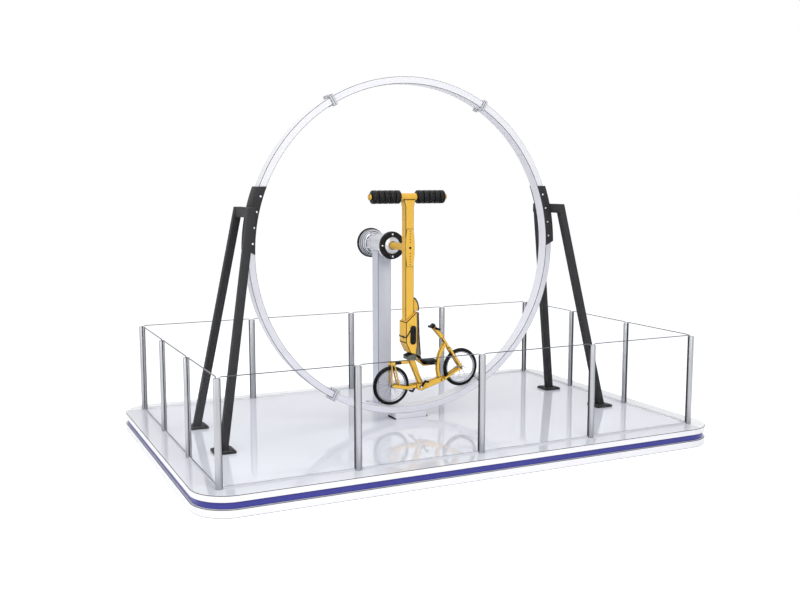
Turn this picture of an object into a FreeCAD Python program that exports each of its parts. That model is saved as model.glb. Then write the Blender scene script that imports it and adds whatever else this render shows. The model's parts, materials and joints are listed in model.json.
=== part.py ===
import FreeCAD, Part
import math
import os

os.makedirs("parts", exist_ok=True)

# Sizes are in millimetres and angles in degrees
V = FreeCAD.Vector

# Ring
RING_OUTER_R = 2100.0
RING_T = 84.0
RING_W = 176.0
RING_DECK_GAP = 67.0
RING_JOINT_ANGLE = 60.0
FLANGE_T = 12.0
FLANGE_OUT = 13.0
LANE_HALF_W = 50.0
SHOE_HALF_X = 220.0
SHOE_OVERHANG = 17.0

# Ring plates and stands
PLATE_T = 12.0
PLATE_OUT = 26.0
PLATE_LOW_ANGLE = -3.0
PLATE_HIGH_ANGLE = 24.0
PLATE_TOP = 768.0
PLATE_FOOT_IN = -62.0
PLATE_FOOT_OUT = 40.0
LEG_SIZE = 90.0
STAND_RING_GAP = 5.0
STAND_TOP = 530.0
STAND_TOP_Y = 262.0
STAND_BEAM_H = 116.0
FOOT_SPLAY_X = 475.0
FOOT_SPLAY_Y = 338.0
FOOT_SIZE = 236.0
FOOT_T = 28.0

# Swing arm
ARM_W = 115.0
ARM_FLARE_Z = 505.0
ARM_FLARE_W = 156.0
BRACE_T = 10.0
BRACE_MID_W = 130.0
BRACE_END_W = 92.0
BRACE_HALF_H = 238.0
BAR_Z = 634.0
BAR_R = 34.0
BAR_END = 34.0
SLEEVE_R = 47.0
SLEEVE_HALF = 112.0
SLEEVE_GAP = 6.0
WEIGHT_R = 84.0
WEIGHT_T = 74.0
WEIGHT_GAP = 3.0
WEIGHTS_PER_SIDE = 5

# Hub and column
HUB_GAP = 390.0
HUB_RING_T = 20.0
HUB_RING_R = 176.0
HUB_PLATE_R = 182.0
HUB_PLATE_T = 60.0
HUB_TUBE_R = 122.0
HUB_TUBE_L = 500.0
HUB_STEP_T = 56.0
HUB_STEP_R = 31.0
HUB_DISC_R = 200.0
HUB_DISC_T = 22.0
HUB_RIB_COUNT = 8
HUB_RIB_T = 12.0
HUB_RIB_L = 125.0
SHAFT_R = 46.0
SHAFT_PLAY = 0.05
COLLAR_R = 106.0
COLLAR_T = 16.0
MOVING_GAP = 5.0
COLUMN_W = 190.0
COLUMN_BACK = 268.0
COLUMN_BASE = 330.0
COLUMN_BASE_T = 20.0

# Fence and platform, set round the stands and the hub
WALK_X = 274.0
WALK_Y = 700.0
DECK_RIM = 261.0
DECK_CORNER_R = 400.0
BASE_T = 86.0
BAND_T = 70.0
DECK_T = 70.0
BAND_INSET = 24.0
BAYS_PER_LONG_SIDE = 4
BAYS_PER_SHORT_SIDE = 3
POST_R = 35.0
POST_H = 1103.0
GLASS_T = 12.0
GLASS_LOW = 18.0
GLASS_OVER_POST = 17.0
GLASS_JOINT = 10.0
RAIL_H = 8.0

# Wheels, placed along X from the hub line
WHEEL_R = 250.0
TRACK_GAP = 5.0
REAR_X = -237.0
FRONT_X = 764.0
TYRE_T = 46.0
TYRE_W = 46.0
RIM_T = 13.0
RIM_W = 28.0
SPOKES_PER_WHEEL = 24
SPOKE_T = 3.0
SHELL_R = 24.0
SHELL_HALF = 26.0
AXLE_R = 8.0
AXLE_PLAY = 0.05
NUT_T = 14.0
SIDE_GAP = 6.0
SIDE_T = 12.0

# Bicycle frame, points are X from the hub line and height above the track
SEAT_TUBE = [(-4.0, 604.0), (84.0, 596.0), (207.0, 262.0), (146.0, 262.0)]
SEAT_TUBE_W = 56.0
BRACKET = (160.0, 224.0)
BRACKET_R = 44.0
BRACKET_BLOCK = [(106.0, 272.0), (200.0, 272.0), (200.0, 176.0), (178.0, 174.0), (106.0, 214.0)]
MAIN_BEAM = [(186.0, 264.0), (492.0, 334.0), (480.0, 258.0), (196.0, 172.0)]
MAIN_BEAM_W = 56.0
STAY_BEND = (-21.0, 229.0)
STAY_END = (112.0, 243.0)
STAY_H = 50.0
BOW_W = 48.0
BOW_INNER = [(524.0, 782.0), (405.0, 480.0), (431.0, 305.0)]
BOW_OUTER = [(555.0, 735.0), (449.0, 470.0), (476.0, 315.0)]
STEM_TOP = (366.0, 984.0)
STEM_LOW = (493.0, 840.0)
STEM_T = 52.0
STEM_HALF_Y = 31.0
NECK_H = 32.0
NECK_HALF_Y = 25.0
CROWN_R = 22.0
FORK_CROWN_GAP = 56.0
FORK_CROWN_ANGLE = 123.5
LOW_CROWN_GAP = 56.0
LOW_CROWN_ANGLE = 207.4
BLADE_H = 36.0
REAR_BAR_R = 18.5
REAR_CROWN_GAP = 13.0
REAR_CROWN_X = 10.0
REAR_CROWN_L = 68.0
REAR_CROWN_H = 44.0
LEG_STRUT_H = 22.0
LEG_FRONT_X = 102.0
CAP_H = 60.0
CAP_HALF_Y = 35.0
CAP_T = 38.0
HANDLE_HALF = 152.0
HANDLE_R = 11.0
HANDLE_IN = 20.0
GRIP_R = 15.0
GRIP_L = 96.0

# Crank set
CRANK_AXLE_R = 12.0
CRANK_L = 96.0
CRANK_ANGLE = 52.6
CRANK_T = 13.0
CRANK_W = 24.0
PEDAL_L = 64.0
PEDAL_W = 38.0
PEDAL_T = 16.0
PEDAL_PIN_R = 6.0
PEDAL_PLAY = 0.2

# Seat unit, points are X and height above the track
HOUSING = [(-71.0, 1080.0), (83.0, 1208.0), (83.0, 765.0), (64.0, 652.0), (34.0, 671.0), (-6.0, 684.0), (-71.0, 820.0)]
HOUSING_HALF_Y = 101.0
SIDE_PAD = (26.0, 914.0)
SIDE_PAD_H = 242.0
SIDE_PAD_W = 84.0
SIDE_PAD_T = 10.0
SIDE_PAD_SINK = 6.0
SOFT_GAP = 0.5
TRAY = [(-38.0, 639.0), (38.0, 670.0)]
TRAY_T = 10.0
TRAY_HALF_Y = 62.0
BLOCK = [(-34.0, 640.0), HOUSING[4], HOUSING[3], (95.0, 640.0), (85.0, 588.0), (-35.0, 598.0)]
BLOCK_HALF_Y = 60.0
SHELL_LINE = [(92.0, 1200.0), (95.0, 1075.0), (102.0, 903.0), (113.0, 767.0), (124.0, 640.0), (176.0, 548.0),
              (214.0, 512.0), (388.0, 502.0)]
SHELL_T = 8.0
SHELL_HALF_Y = 96.0
SEAT_HALF_Y = 58.0
BACK_PAD_T = 15.0
SADDLE_X0 = 222.0
SADDLE_X1 = 408.0
SADDLE_H = 42.0
SADDLE_NOSE_HALF_Y = 30.0
SUPPORT_T = 24.0
SUPPORT_HALF_Y = 26.0
HEAD_SUPPORT_TOP = 1378.0
HEAD_SUPPORT_MID = (104.0, 1312.0)
HEAD_SUPPORT_LOW = (112.0, 1212.0)
HEAD_PAD_T = 16.0

# Levels and radii that follow from the sizes above
DECK_Z = BASE_T + BAND_T + DECK_T
RING_Z = DECK_Z + RING_DECK_GAP + RING_OUTER_R
RING_INNER_R = RING_OUTER_R - RING_T
TRACK_Z = RING_Z - RING_INNER_R
WHEEL_PATH_R = RING_INNER_R - TRACK_GAP - WHEEL_R
TYRE_INNER_R = WHEEL_R - TYRE_T
ARM_HALF = ARM_W / 2.0
SIDE_Y = SHELL_HALF + SIDE_GAP
SIDE_OUT = SIDE_Y + SIDE_T
HUB_FACE_Y = ARM_HALF + HUB_GAP
HUB_PLATE_Y = HUB_FACE_Y + HUB_RING_T
HUB_TUBE_Y = HUB_PLATE_Y + HUB_PLATE_T
HUB_BELL_Y = HUB_TUBE_Y + HUB_TUBE_L
HUB_END_Y = HUB_BELL_Y + 2.0 * HUB_STEP_T
COLUMN_Y = HUB_TUBE_Y + COLUMN_BACK
STAND_X = RING_OUTER_R + STAND_RING_GAP
FOOT_X = STAND_X + FOOT_SPLAY_X
FOOT_Y = STAND_TOP_Y + FOOT_SPLAY_Y
FENCE_HALF_X = FOOT_X + FOOT_SIZE / 2.0 + WALK_X
FENCE_HALF_Y = HUB_END_Y + HUB_DISC_T + WALK_Y
BAR_HALF = SLEEVE_HALF + SLEEVE_GAP + WEIGHTS_PER_SIDE * (WEIGHT_T + WEIGHT_GAP) + BAR_END


# A place given from the hub line
def hub_at(x, z, y=0.0):
    return V(x, y, RING_Z + z)


# A place given by its height above the lowest point of the ring's inner face
def track_at(x, h, y=0.0):
    return V(x, y, TRACK_Z + h)


def box(x0, x1, y0, y1, z0, z1):
    return Part.makeBox(x1 - x0, y1 - y0, z1 - z0, V(x0, y0, z0))


def rod(p0, p1, radius):
    span = p1.sub(p0)
    return Part.makeCylinder(radius, span.Length, p0, span)


def cross_rod(centre, y0, y1, radius):
    start = V(centre.x, y0, centre.z)
    return Part.makeCylinder(radius, y1 - y0, start, V(0, 1, 0))


def hub_rod(y0, y1, radius):
    return cross_rod(hub_at(0.0, 0.0), y0, y1, radius)


def tube_y(centre, y0, y1, outer, inner):
    return cross_rod(centre, y0, y1, outer).cut(cross_rod(centre, y0, y1, inner))


# A plate in the bicycle's plane with straight edges
def plate(points, y0, y1):
    corners = [track_at(x, h, y0) for x, h in points]
    face = Part.Face(Part.makePolygon(corners + [corners[0]]))
    return face.extrude(V(0, y1 - y0, 0))


# The outline of a straight bar of one height between two points
def bar_outline(a, b, height):
    run = math.hypot(b[0] - a[0], b[1] - a[1])
    nx = (a[1] - b[1]) / run * height / 2.0
    nz = (b[0] - a[0]) / run * height / 2.0
    return [(a[0] + nx, a[1] + nz), (b[0] + nx, b[1] + nz), (b[0] - nx, b[1] - nz), (a[0] - nx, a[1] - nz)]


def bar(a, b, height, y0, y1):
    return plate(bar_outline(a, b, height), y0, y1)


# Arc through three points of the bicycle's plane
def arc(points, y):
    a, b, c = [track_at(x, h, y) for x, h in points]
    return Part.Arc(a, b, c).toShape()


def fuse(shapes):
    return shapes[0].multiFuse(shapes[1:]).removeSplitter()


def group(shapes):
    return Part.makeCompound(shapes)


def mirror_x(shape):
    return shape.mirror(V(0, 0, 0), V(1, 0, 0))


def mirror_y(shape):
    return shape.mirror(V(0, 0, 0), V(0, 1, 0))


def both_sides(shape):
    return [shape, mirror_y(shape)]


def is_upright(edge):
    return abs(edge.tangentAt(edge.FirstParameter).z) > 0.99


def save(name, shape):
    shape.exportStep("parts/" + name + ".step")


# Platform layers with round corners
def platform_layer(inset, z0, z1):
    hx = FENCE_HALF_X + DECK_RIM - inset
    hy = FENCE_HALF_Y + DECK_RIM - inset
    slab = box(-hx, hx, -hy, hy, z0, z1)
    return slab.makeFillet(DECK_CORNER_R - inset, [e for e in slab.Edges if is_upright(e)])


def platform():
    band_z = BASE_T
    deck_z = BASE_T + BAND_T
    save("platform_base", platform_layer(0.0, 0.0, band_z))
    save("platform_band", platform_layer(BAND_INSET, band_z, deck_z))
    save("platform_deck", platform_layer(0.0, deck_z, DECK_Z))


# Post places along one side of the fence
def post_places(half, bays):
    return [-half + i * 2.0 * half / bays for i in range(bays + 1)]


# Bars that fill the bays of all four sides, from the middle of one post's slot to the next
def bay_bars(width, z0, z1):
    xs = post_places(FENCE_HALF_X, BAYS_PER_LONG_SIDE)
    ys = post_places(FENCE_HALF_Y, BAYS_PER_SHORT_SIDE)
    end = GLASS_JOINT / 2.0
    w = width / 2.0
    bars = []
    for y in (-FENCE_HALF_Y, FENCE_HALF_Y):
        bars += [box(a + end, b - end, y - w, y + w, z0, z1) for a, b in zip(xs, xs[1:])]
    corner = end + GLASS_T
    for x in (-FENCE_HALF_X, FENCE_HALF_X):
        for a, b in zip(ys, ys[1:]):
            a_end = corner if a == ys[0] else end
            b_end = corner if b == ys[-1] else end
            bars.append(box(x - w, x + w, a + a_end, b - b_end, z0, z1))
    return bars


def fence():
    xs = post_places(FENCE_HALF_X, BAYS_PER_LONG_SIDE)
    ys = post_places(FENCE_HALF_Y, BAYS_PER_SHORT_SIDE)
    places = [(x, y) for x in xs for y in (ys[0], ys[-1])]
    places += [(x, y) for x in (xs[0], xs[-1]) for y in ys[1:-1]]
    rail_z = DECK_Z + GLASS_LOW - RAIL_H
    glass_z = DECK_Z + GLASS_LOW
    top = DECK_Z + POST_H
    glass = bay_bars(GLASS_T, glass_z, top + GLASS_OVER_POST)
    rails = bay_bars(GLASS_T, rail_z, glass_z)
    slots = group(bay_bars(GLASS_T, rail_z, top))
    posts = [Part.makeCylinder(POST_R, POST_H, V(x, y, DECK_Z)).cut(slots) for x, y in places]
    save("fence_posts", group(posts))
    save("fence_glass", group(glass))
    save("fence_bottom_rails", group(rails))


# A stretch of a flat ring about the hub line, angles from +X towards +Z
def sector(r0, r1, a0, a1, y0, y1):
    ends = []
    for angle in (a0, (a0 + a1) / 2.0, a1):
        c = math.cos(math.radians(angle))
        s = math.sin(math.radians(angle))
        ends.append((hub_at(r0 * c, r0 * s, y0), hub_at(r1 * c, r1 * s, y0)))
    inner = Part.Arc(ends[0][0], ends[1][0], ends[2][0]).toShape()
    outer = Part.Arc(ends[0][1], ends[1][1], ends[2][1]).toShape()
    start = Part.makeLine(ends[0][0], ends[0][1])
    finish = Part.makeLine(ends[2][0], ends[2][1])
    face = Part.Face(Part.Wire([inner, finish, outer, start]))
    return face.extrude(V(0, y1 - y0, 0))


# A flange square to the ring's line, open where the tyre passes
def ring_flange(angle, side):
    half_w = RING_W / 2.0 + FLANGE_OUT
    r0 = RING_INNER_R - FLANGE_OUT
    r1 = RING_OUTER_R + FLANGE_OUT
    z0, z1 = sorted((0.0, side * FLANGE_T))
    flange = box(r0, r1, -half_w, half_w, z0, z1)
    flange = flange.cut(box(r0, RING_INNER_R, -LANE_HALF_W, LANE_HALF_W, z0, z1))
    flange.translate(V(0, 0, RING_Z))
    flange.rotate(V(0, 0, RING_Z), V(0, -1, 0), angle)
    return flange


def ring_segment(name, a0, a1):
    half_w = RING_W / 2.0
    body = sector(RING_INNER_R, RING_OUTER_R, a0, a1, -half_w, half_w)
    save(name, fuse([body, ring_flange(a0, 1), ring_flange(a1, -1)]))


def ring():
    j = RING_JOINT_ANGLE
    ring_segment("ring_top", j, 180.0 - j)
    ring_segment("ring_left", 180.0 - j, 180.0 + j)
    ring_segment("ring_bottom", 180.0 + j, 360.0 - j)
    ring_segment("ring_right", -j, j)
    half_w = RING_W / 2.0 + SHOE_OVERHANG
    shoe = box(-SHOE_HALF_X, SHOE_HALF_X, -half_w, half_w, DECK_Z, RING_Z)
    shoe = shoe.cut(hub_rod(-half_w, half_w, RING_OUTER_R))
    save("ring_shoe", shoe)


def stand_beam():
    x0 = STAND_X - LEG_SIZE / 2.0
    z1 = RING_Z + STAND_TOP
    hy = STAND_TOP_Y + LEG_SIZE / 2.0
    return box(x0, x0 + LEG_SIZE, -hy, hy, z1 - STAND_BEAM_H, z1)


# A channel bent round the ring's outer side, level at its top and slanted at its foot
def ring_bracket():
    face = RING_W / 2.0
    side = face + PLATE_T
    r1 = RING_OUTER_R + PLATE_OUT
    body = sector(RING_INNER_R, r1, PLATE_LOW_ANGLE, PLATE_HIGH_ANGLE, -side, side)
    body = body.cut(sector(RING_INNER_R - PLATE_T, RING_OUTER_R, PLATE_LOW_ANGLE - 1.0, PLATE_HIGH_ANGLE + 1.0,
                           -face, face))
    x0 = RING_INNER_R - RING_T
    x1 = r1 + PLATE_T
    foot = plate([(x0, RING_INNER_R + PLATE_FOOT_IN), (x1, RING_INNER_R + PLATE_FOOT_OUT), (x1, 0.0), (x0, 0.0)],
                 -side, side)
    above = box(0.0, x1, -side, side, RING_Z + PLATE_TOP, RING_Z + RING_OUTER_R)
    return body.cut(foot).cut(above).cut(stand_beam())


def square(x, y, z, size):
    h = size / 2.0
    corners = [V(x - h, y - h, z), V(x + h, y - h, z), V(x + h, y + h, z), V(x - h, y + h, z)]
    return Part.makePolygon(corners + [corners[0]])


def stand_leg():
    low = square(FOOT_X, FOOT_Y, DECK_Z + FOOT_T, LEG_SIZE)
    top = square(STAND_X, STAND_TOP_Y, RING_Z + STAND_TOP, LEG_SIZE)
    return Part.makeLoft([low, top], True, True)


def foot_plate():
    h = FOOT_SIZE / 2.0
    return box(FOOT_X - h, FOOT_X + h, FOOT_Y - h, FOOT_Y + h, DECK_Z, DECK_Z + FOOT_T)


def stands():
    frame = fuse(both_sides(stand_leg()) + [stand_beam()])
    feet = both_sides(foot_plate())
    bracket = ring_bracket()
    save("right_stand", frame)
    save("left_stand", mirror_x(frame))
    save("foot_plates", group(feet + [mirror_x(s) for s in feet]))
    save("ring_brackets", group([bracket, mirror_x(bracket)]))


# Column, hollowed at the top to carry the hub's tube
def column():
    h = COLUMN_W / 2.0
    z0 = DECK_Z + COLUMN_BASE_T
    body = box(-h, h, COLUMN_Y - h, COLUMN_Y + h, z0, RING_Z)
    save("column", body.cut(hub_rod(COLUMN_Y - h, COLUMN_Y + h, HUB_TUBE_R)))
    b = COLUMN_BASE / 2.0
    save("column_base", box(-b, b, COLUMN_Y - b, COLUMN_Y + b, DECK_Z, z0))


# A rib between the hub's tube and its bell
def hub_rib(index):
    r0 = HUB_TUBE_R / 2.0
    r1 = HUB_TUBE_R + HUB_STEP_R
    y0 = HUB_BELL_Y - HUB_RIB_L
    corners = [V(r0, y0, 0), V(HUB_TUBE_R, y0, 0), V(r1, HUB_BELL_Y, 0), V(r0, HUB_BELL_Y, 0)]
    face = Part.Face(Part.makePolygon(corners + [corners[0]]))
    rib = face.extrude(V(0, 0, HUB_RIB_T))
    rib.translate(V(0, 0, RING_Z - HUB_RIB_T / 2.0))
    rib.rotate(V(0, 0, RING_Z), V(0, 1, 0), 360.0 * (index + 0.5) / HUB_RIB_COUNT)
    return rib


def hub():
    parts = [hub_rod(HUB_PLATE_Y, HUB_TUBE_Y, HUB_PLATE_R), hub_rod(HUB_TUBE_Y, HUB_END_Y, HUB_TUBE_R)]
    parts.append(hub_rod(HUB_BELL_Y, HUB_END_Y, HUB_TUBE_R + HUB_STEP_R))
    parts.append(hub_rod(HUB_BELL_Y + HUB_STEP_T, HUB_END_Y, HUB_TUBE_R + 2.0 * HUB_STEP_R))
    parts += [hub_rib(i) for i in range(HUB_RIB_COUNT)]
    body = fuse(parts)
    save("hub_housing", body.cut(hub_rod(HUB_PLATE_Y, HUB_END_Y, SHAFT_R + SHAFT_PLAY)))
    centre = hub_at(0.0, 0.0)
    save("hub_front_ring", tube_y(centre, HUB_FACE_Y, HUB_PLATE_Y, HUB_RING_R, COLLAR_R + MOVING_GAP))
    save("hub_rear_disc", hub_rod(HUB_END_Y, HUB_END_Y + HUB_DISC_T, HUB_DISC_R))
    collar_y = HUB_PLATE_Y - MOVING_GAP
    shaft = hub_rod(ARM_HALF, HUB_END_Y - MOVING_GAP, SHAFT_R)
    save("hub_shaft", fuse([shaft, hub_rod(collar_y - COLLAR_T, collar_y, COLLAR_R)]))


# A level outline centred on the swing arm
def oblong(wide, deep, z):
    hx = wide / 2.0
    hy = deep / 2.0
    corners = [V(-hx, -hy, z), V(hx, -hy, z), V(hx, hy, z), V(-hx, hy, z)]
    return Part.makePolygon(corners + [corners[0]])


# Swing arm, a box beam with a flared head round the counterweight bar
def arm():
    start = hub_at(-SLEEVE_HALF, BAR_Z)
    end = hub_at(SLEEVE_HALF, BAR_Z)
    low_z = TRACK_Z + HOUSING[0][1]
    beam = box(-ARM_HALF, ARM_HALF, -ARM_HALF, ARM_HALF, low_z, RING_Z + ARM_FLARE_Z)
    low = oblong(ARM_W, ARM_W, RING_Z + ARM_FLARE_Z)
    top = oblong(ARM_FLARE_W, ARM_W, RING_Z + BAR_Z - BAR_R)
    body = fuse([beam, Part.makeLoft([low, top], True, True), rod(start, end, SLEEVE_R)])
    body = body.cut(rod(start, end, BAR_R)).cut(housing_block())
    save("arm_beam", body)
    save("counterweight_bar", rod(hub_at(-BAR_HALF, BAR_Z), hub_at(BAR_HALF, BAR_Z), BAR_R))
    discs = []
    for i in range(WEIGHTS_PER_SIDE):
        x0 = SLEEVE_HALF + SLEEVE_GAP + i * (WEIGHT_T + WEIGHT_GAP)
        a = hub_at(x0, BAR_Z)
        b = hub_at(x0 + WEIGHT_T, BAR_Z)
        discs.append(rod(a, b, WEIGHT_R).cut(rod(a, b, BAR_R)))
    save("counterweights", group(discs + [mirror_x(d) for d in discs]))
    save("arm_brace_plate", brace_plate())


# Plate on the arm's front at the hub line, widest at its middle
def brace_plate():
    y = -ARM_HALF - BRACE_T
    end = BRACE_END_W / 2.0
    low = hub_at(end, -BRACE_HALF_H, y)
    top = hub_at(end, BRACE_HALF_H, y)
    low_left = hub_at(-end, -BRACE_HALF_H, y)
    top_left = hub_at(-end, BRACE_HALF_H, y)
    right = Part.Arc(low, hub_at(BRACE_MID_W / 2.0, 0, y), top).toShape()
    left = Part.Arc(top_left, hub_at(-BRACE_MID_W / 2.0, 0, y), low_left).toShape()
    ends = [Part.makeLine(top, top_left), Part.makeLine(low_left, low)]
    face = Part.Face(Part.Wire([right, ends[0], left, ends[1]]))
    return face.extrude(V(0, BRACE_T, 0))


def housing_block():
    return plate(HOUSING, -HOUSING_HALF_Y, HOUSING_HALF_Y)


# A long round-ended slab, the side pad or the pocket that holds it
def side_slot(half_w, half_h, y0, y1):
    x, h = SIDE_PAD
    straight = half_h - half_w
    parts = [plate([(x - half_w, h - straight), (x + half_w, h - straight),
                    (x + half_w, h + straight), (x - half_w, h + straight)], y0, y1)]
    parts += [cross_rod(track_at(x, h + s * straight), y0, y1, half_w) for s in (-1, 1)]
    return fuse(parts)


def seat_housing():
    sink_y = HOUSING_HALF_Y - SIDE_PAD_SINK
    pocket = side_slot(SIDE_PAD_W / 2.0 + SOFT_GAP, SIDE_PAD_H / 2.0 + SOFT_GAP, sink_y, HOUSING_HALF_Y)
    pad_y = sink_y + SOFT_GAP
    pad = side_slot(SIDE_PAD_W / 2.0, SIDE_PAD_H / 2.0, pad_y, pad_y + SIDE_PAD_T)
    body = housing_block().cut(pocket).cut(mirror_y(pocket))
    save("seat_housing", body)
    save("side_pads", group(both_sides(pad)))
    tray = bar(TRAY[0], TRAY[1], TRAY_T, -TRAY_HALF_Y, TRAY_HALF_Y).cut(housing_block())
    save("seat_tray", tray)
    save("seat_block", seat_block_solid().cut(tray).cut(housing_block()))


def seat_block_solid():
    return plate(BLOCK, -BLOCK_HALF_Y, BLOCK_HALF_Y)


# The point of a line that lies a given distance to its front or top side
def offset_line(points, distance):
    shifted = []
    for i, point in enumerate(points):
        before = points[max(i - 1, 0)]
        after = points[min(i + 1, len(points) - 1)]
        run = math.hypot(after[0] - before[0], after[1] - before[1])
        nx = (before[1] - after[1]) / run
        nz = (after[0] - before[0]) / run
        shifted.append((point[0] + nx * distance, point[1] + nz * distance))
    return shifted


# Seat shell, pads and the arm that carries the saddle
def seat():
    back = SHELL_LINE[:6]
    seat_line = SHELL_LINE[5:]
    shell_back = plate(back + offset_line(back, SHELL_T)[::-1], -SHELL_HALF_Y, SHELL_HALF_Y)
    shell_seat = plate(seat_line + offset_line(seat_line, SHELL_T)[::-1], -SEAT_HALF_Y, SEAT_HALF_Y)
    save("seat_shell", fuse([shell_back, shell_seat]))
    pad_line = back[:-1]
    pad_face = offset_line(pad_line, SHELL_T + SOFT_GAP)
    pad_front = offset_line(pad_line, SHELL_T + SOFT_GAP + BACK_PAD_T)
    save("back_pad", plate(pad_face + pad_front[::-1], -SHELL_HALF_Y, SHELL_HALF_Y))
    save("saddle", saddle_solid())
    under = [(BLOCK[3][0], BLOCK[3][1]), (SHELL_LINE[5][0], SHELL_LINE[5][1]), (SHELL_LINE[6][0], SHELL_LINE[6][1])]
    under.append(SHELL_LINE[7])
    low = [(x, h - SUPPORT_T) for x, h in under[1:-1]]
    tip = (under[3][0], under[3][1] - SHELL_T)
    outline = under + [tip, low[1], low[0], BLOCK[4]]
    body = plate(outline, -SUPPORT_HALF_Y, SUPPORT_HALF_Y)
    tube = seat_tube()
    save("saddle_support", body.cut(tube).cut(shell_back))


def saddle_solid():
    seat_top = SHELL_LINE[6][1] + SHELL_T
    z0 = TRACK_Z + seat_top + SOFT_GAP
    mid = (SADDLE_X0 + SADDLE_X1) / 2.0
    w = SHELL_HALF_Y
    n = SADDLE_NOSE_HALF_Y
    half = [(SADDLE_X0, w), (mid, w * 0.8), (SADDLE_X1, n)]
    corners = [V(x, y, z0) for x, y in half] + [V(x, -y, z0) for x, y in half[::-1]]
    face = Part.Face(Part.makePolygon(corners + [corners[0]]))
    return face.extrude(V(0, 0, SADDLE_H))


# Head rest, a yellow filler on the arm with a curved pad over it
def head_rest():
    top = (ARM_HALF, HEAD_SUPPORT_TOP)
    curve = [top, HEAD_SUPPORT_MID, HEAD_SUPPORT_LOW]
    foot = (ARM_HALF, HEAD_SUPPORT_LOW[1])
    start = track_at(*HEAD_SUPPORT_LOW, -ARM_HALF)
    lines = [arc(curve, -ARM_HALF), Part.makeLine(start, track_at(*foot, -ARM_HALF))]
    lines.append(Part.makeLine(track_at(*foot, -ARM_HALF), track_at(*top, -ARM_HALF)))
    face = Part.Face(Part.Wire(lines))
    save("head_support", face.extrude(V(0, ARM_W, 0)))
    near = [(x + SOFT_GAP, h) for x, h in curve]
    far = [(x + HEAD_PAD_T, h + HEAD_PAD_T / 2.0) for x, h in curve[:2]]
    far.append((curve[2][0] + HEAD_PAD_T, curve[2][1]))
    a = arc(near, -ARM_HALF)
    b = arc(far, -ARM_HALF)
    ends = [Part.makeLine(track_at(*near[k], -ARM_HALF), track_at(*far[k], -ARM_HALF)) for k in (0, 2)]
    face = Part.Face(Part.Wire([a, ends[1], b, ends[0]]))
    save("head_pad", face.extrude(V(0, ARM_W, 0)))


# Wheels
def wheel_centre(x):
    return (x, RING_INNER_R - math.sqrt(WHEEL_PATH_R ** 2 - x ** 2))


def turning(profile, centre):
    corners = [V(r, y, 0) for r, y in profile]
    face = Part.Face(Part.makePolygon(corners + [corners[0]]))
    solid = face.revolve(V(0, 0, 0), V(0, 1, 0), 360.0)
    solid.translate(track_at(*centre))
    return solid


def tyre(centre):
    w = TYRE_W / 2.0
    shoulder = WHEEL_R - TYRE_T / 3.0
    profile = [(TYRE_INNER_R, -RIM_W / 2.0), (shoulder, -w), (WHEEL_R, 0.0), (shoulder, w)]
    profile.append((TYRE_INNER_R, RIM_W / 2.0))
    return turning(profile, centre)


def spoke(index):
    side = 1.0 if index % 2 else -1.0
    y = side * (SHELL_HALF - SPOKE_T)
    start = SHELL_R - SPOKE_T
    length = TYRE_INNER_R - RIM_T / 2.0 - start
    bar_solid = Part.makeBox(length, SPOKE_T, SPOKE_T, V(start, y - SPOKE_T / 2.0, -SPOKE_T / 2.0))
    bar_solid.rotate(V(start, y, 0), V(0, 0, 1), -math.degrees(math.atan2(y, length)))
    bar_solid.rotate(V(0, 0, 0), V(0, 1, 0), 360.0 * index / SPOKES_PER_WHEEL)
    return bar_solid


def spoked_rim(centre):
    w = RIM_W / 2.0
    low = TYRE_INNER_R - RIM_T
    rim = turning([(low, -w / 2.0), (TYRE_INNER_R, -w), (TYRE_INNER_R, w), (low, w / 2.0)], centre)
    middle = track_at(*centre)
    parts = [rim, cross_rod(middle, -SHELL_HALF, SHELL_HALF, SHELL_R)]
    for i in range(SPOKES_PER_WHEEL):
        one = spoke(i)
        one.translate(middle)
        parts.append(one)
    return fuse(parts).cut(cross_rod(middle, -SHELL_HALF, SHELL_HALF, AXLE_R + AXLE_PLAY))


def axle(centre):
    reach = SIDE_OUT + NUT_T
    return cross_rod(track_at(*centre), -reach, reach, AXLE_R)


def wheels(rear, front):
    for name, centre in (("rear", rear), ("front", front)):
        save(name + "_tyre", tyre(centre))
        save(name + "_spoked_rim", spoked_rim(centre))
        save(name + "_axle", axle(centre))


# Bicycle frame
def seat_tube():
    return plate(SEAT_TUBE, -SEAT_TUBE_W / 2.0, SEAT_TUBE_W / 2.0)


def polar(centre, distance, angle):
    a = math.radians(angle)
    return (centre[0] + distance * math.cos(a), centre[1] + distance * math.sin(a))


# One flat stay with a round eye at its wheel end, and its twin on the other side
def stays(a, b, height):
    parts = [bar(a, b, height, SIDE_Y, SIDE_OUT), cross_rod(track_at(*b), SIDE_Y, SIDE_OUT, height / 2.0)]
    return parts + [mirror_y(p) for p in parts]


def bow():
    y = -BOW_W / 2.0
    inner = arc(BOW_INNER, y)
    outer = arc(BOW_OUTER, y)
    top = Part.makeLine(track_at(*BOW_INNER[0], y), track_at(*BOW_OUTER[0], y))
    foot = Part.makeLine(track_at(*BOW_INNER[2], y), track_at(*BOW_OUTER[2], y))
    face = Part.Face(Part.Wire([inner, foot, outer, top]))
    return face.extrude(V(0, BOW_W, 0))


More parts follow.
